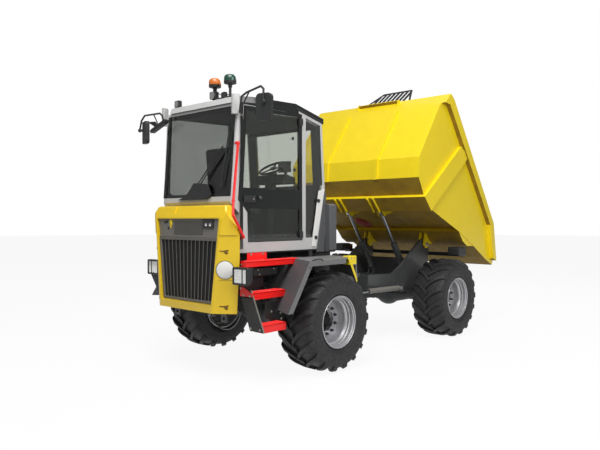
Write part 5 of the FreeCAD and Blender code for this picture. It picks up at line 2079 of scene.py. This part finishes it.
@dataclass
class Studio:
    """Pale floor and backdrop, soft lamps and the camera.

    Attributes:
        camera_place: Camera's place in the frame, in metres.
        yaw: Heading of the view from the machine's nose, in radians.
        pitch: Tilt of the view above the horizon, in radians.
        lens_mm: Focal length of the camera's lens.
        sensor_mm: Width of the camera's sensor.
        floor_radius: Radius of the floor in metres.
        floor_z: Its height, a little under the tyres.
        floor_colour: Its colour in the light.
        white: Strength of the white that the camera sees on the floor.
        white_share: How far that white covers the floor's own shade.
        air: Strength of the light from all around.
        aim: Where the lamps point.
        softbox_size: Length of a softbox's side in metres.
        softboxes: Name, place in metres and power in watts of each: over the nose, at the
            side and behind.
    """

    camera_place: Point = (6.805, 5.491, 1.750)
    yaw: float = 0.73636
    pitch: float = -0.0106
    lens_mm: float = 36.264
    sensor_mm: float = 36.0
    floor_radius: float = 60.0
    floor_z: float = -0.002
    floor_colour: str = "#A9A9A9"
    white: float = 1.12
    white_share: float = 0.82
    air: float = 0.26
    aim: Point = (0, 0, 1.4)
    softbox_size: float = 5.0
    softboxes: Sequence[tuple[str, Point, float]] = (
        ("key_softbox", (5.0, 3.0, 8.5), 700),
        ("side_softbox", (1.5, 9.0, 5.0), 300),
        ("back_softbox", (-7.0, -3.0, 8.0), 300),
    )

    def build(self) -> None:
        """Set up the whole studio."""
        self.floor()
        self.world()
        for softbox in self.softboxes:
            self.lamp(*softbox)
        self.camera()

    @staticmethod
    def seen(tree: Tree, *kinds: str) -> Socket:
        """Tell some kinds of ray from the others.

        Args:
            tree: The nodes.
            *kinds: Names of the light path's outputs.

        Returns:
            A socket that is 1 for a ray of one of those kinds.
        """
        rays = add_node(tree, "ShaderNodeLightPath").outputs
        found = rays[kinds[0]]
        for kind in kinds[1:]:
            either = {0: found, 1: rays[kind]}
            found = add_node(tree, "ShaderNodeMath", either, operation="MAXIMUM").outputs[0]
        return found

    def shade(self, name: str, colour: str) -> bpy.types.Material:
        """Make a floor material that the camera, metal and glass see as nearly white.

        Args:
            name: The material's name.
            colour: Its diffuse colour.

        Returns:
            The material.
        """
        material = blank_material(name)
        tree = material.node_tree
        diffuse = add_node(tree, "ShaderNodeBsdfDiffuse", {"Color": linear(colour)})
        glow = {"Color": (1, 1, 1, 1), "Strength": self.white}
        white = add_node(tree, "ShaderNodeEmission", glow)
        seen = self.seen(tree, "Is Camera Ray", "Is Transmission Ray", "Is Glossy Ray")
        parts = {0: seen, 1: self.white_share}
        share = add_node(tree, "ShaderNodeMath", parts, operation="MULTIPLY")
        layers = {0: share.outputs[0], 1: diffuse.outputs[0], 2: white.outputs[0]}
        mixed = add_node(tree, "ShaderNodeMixShader", layers)
        add_node(tree, "ShaderNodeOutputMaterial", {"Surface": mixed.outputs[0]})
        return material

    def floor(self) -> None:
        """Lay a wide pale floor under the wheels."""
        Bench.deselect()
        bpy.ops.mesh.primitive_circle_add(
            vertices=96, radius=self.floor_radius, fill_type="NGON", location=(0, 0, self.floor_z)
        )
        floor = Bench.named("studio_floor")
        floor.data.materials.append(self.shade("Pale studio floor", self.floor_colour))

    def world(self) -> None:
        """Fill the room with soft white light that the camera sees as white."""
        world = bpy.data.worlds.new("Studio air")
        bpy.context.scene.world = world
        world.use_nodes = True
        tree = world.node_tree
        tree.nodes.clear()
        seen = self.seen(tree, "Is Camera Ray", "Is Transmission Ray")
        ends = {"Value": seen, "To Min": self.air, "To Max": 1.0}
        strength = add_node(tree, "ShaderNodeMapRange", ends).outputs["Result"]
        glow = {"Color": (1, 1, 1, 1), "Strength": strength}
        sky = add_node(tree, "ShaderNodeBackground", glow)
        add_node(tree, "ShaderNodeOutputWorld", {"Surface": sky.outputs[0]})

    def lamp(self, name: str, place: Point, power: float) -> None:
        """Hang one square softbox that points at the machine.

        Args:
            name: The lamp's name.
            place: Its place in metres.
            power: Its power in watts.
        """
        light = bpy.data.lights.new(name, "AREA")
        light.shape = "SQUARE"
        light.size = self.softbox_size
        light.energy = power
        lamp = bpy.data.objects.new(name, light)
        bpy.context.scene.collection.objects.link(lamp)
        lamp.location = place
        towards = Vector(self.aim) - Vector(place)
        lamp.rotation_euler = towards.to_track_quat("-Z", "Y").to_euler()


    def camera(self) -> None:
        """Place the camera and make it the scene's own."""
        data = bpy.data.cameras.new("camera")
        data.sensor_width = self.sensor_mm
        data.lens = self.lens_mm
        camera = bpy.data.objects.new("camera", data)
        bpy.context.scene.collection.objects.link(camera)
        camera.location = self.camera_place
        level = math.cos(self.pitch)
        aim = (-math.cos(self.yaw) * level, -math.sin(self.yaw) * level, math.sin(self.pitch))
        camera.rotation_euler = Vector(aim).to_track_quat("-Z", "Y").to_euler()
        bpy.context.scene.camera = camera


def carried_nodes() -> None:
    """Give the CAD nodes that stay in sight their finishes."""
    finishes = {
        "front_frame": FRAME_GREY,
        "front_axle": CAST,
        "engine_block": CAST,
        "side_tank": FRAME_GREY,
        "windscreen": SCREEN_GLASS,
        "side_glass": SIDE_GLASS,
        "rear_glass": REAR_GLASS,
        "door_glass": DOOR_GLASS,
        "centre_joint": CAST,
        "rear_axle": CAST,
        "tip_rod_left": DARKENED_CHROME,
        "tip_rod_right": DARKENED_CHROME,
        "steer_rod": DARKENED_CHROME,
    }
    for node, finish in finishes.items():
        paint_node(node, finish)


def main() -> None:
    """Build the studio and the machine in order."""
    logging.basicConfig(level=logging.INFO, format="%(name)s %(message)s")
    bpy.context.scene.view_settings.view_transform = "Standard"
    assemblies = (
        Studio, Wheels, Hood, Headlamps, Steps, Mudguards, Cab, Door, CabFront, RoofGear,
        Interior, Skip, RearUnit,
    )
    for assembly in assemblies:
        LOG.info("building %s", assembly.__name__)
        assembly().build()
    carried_nodes()


if __name__ == "__main__":
    main()
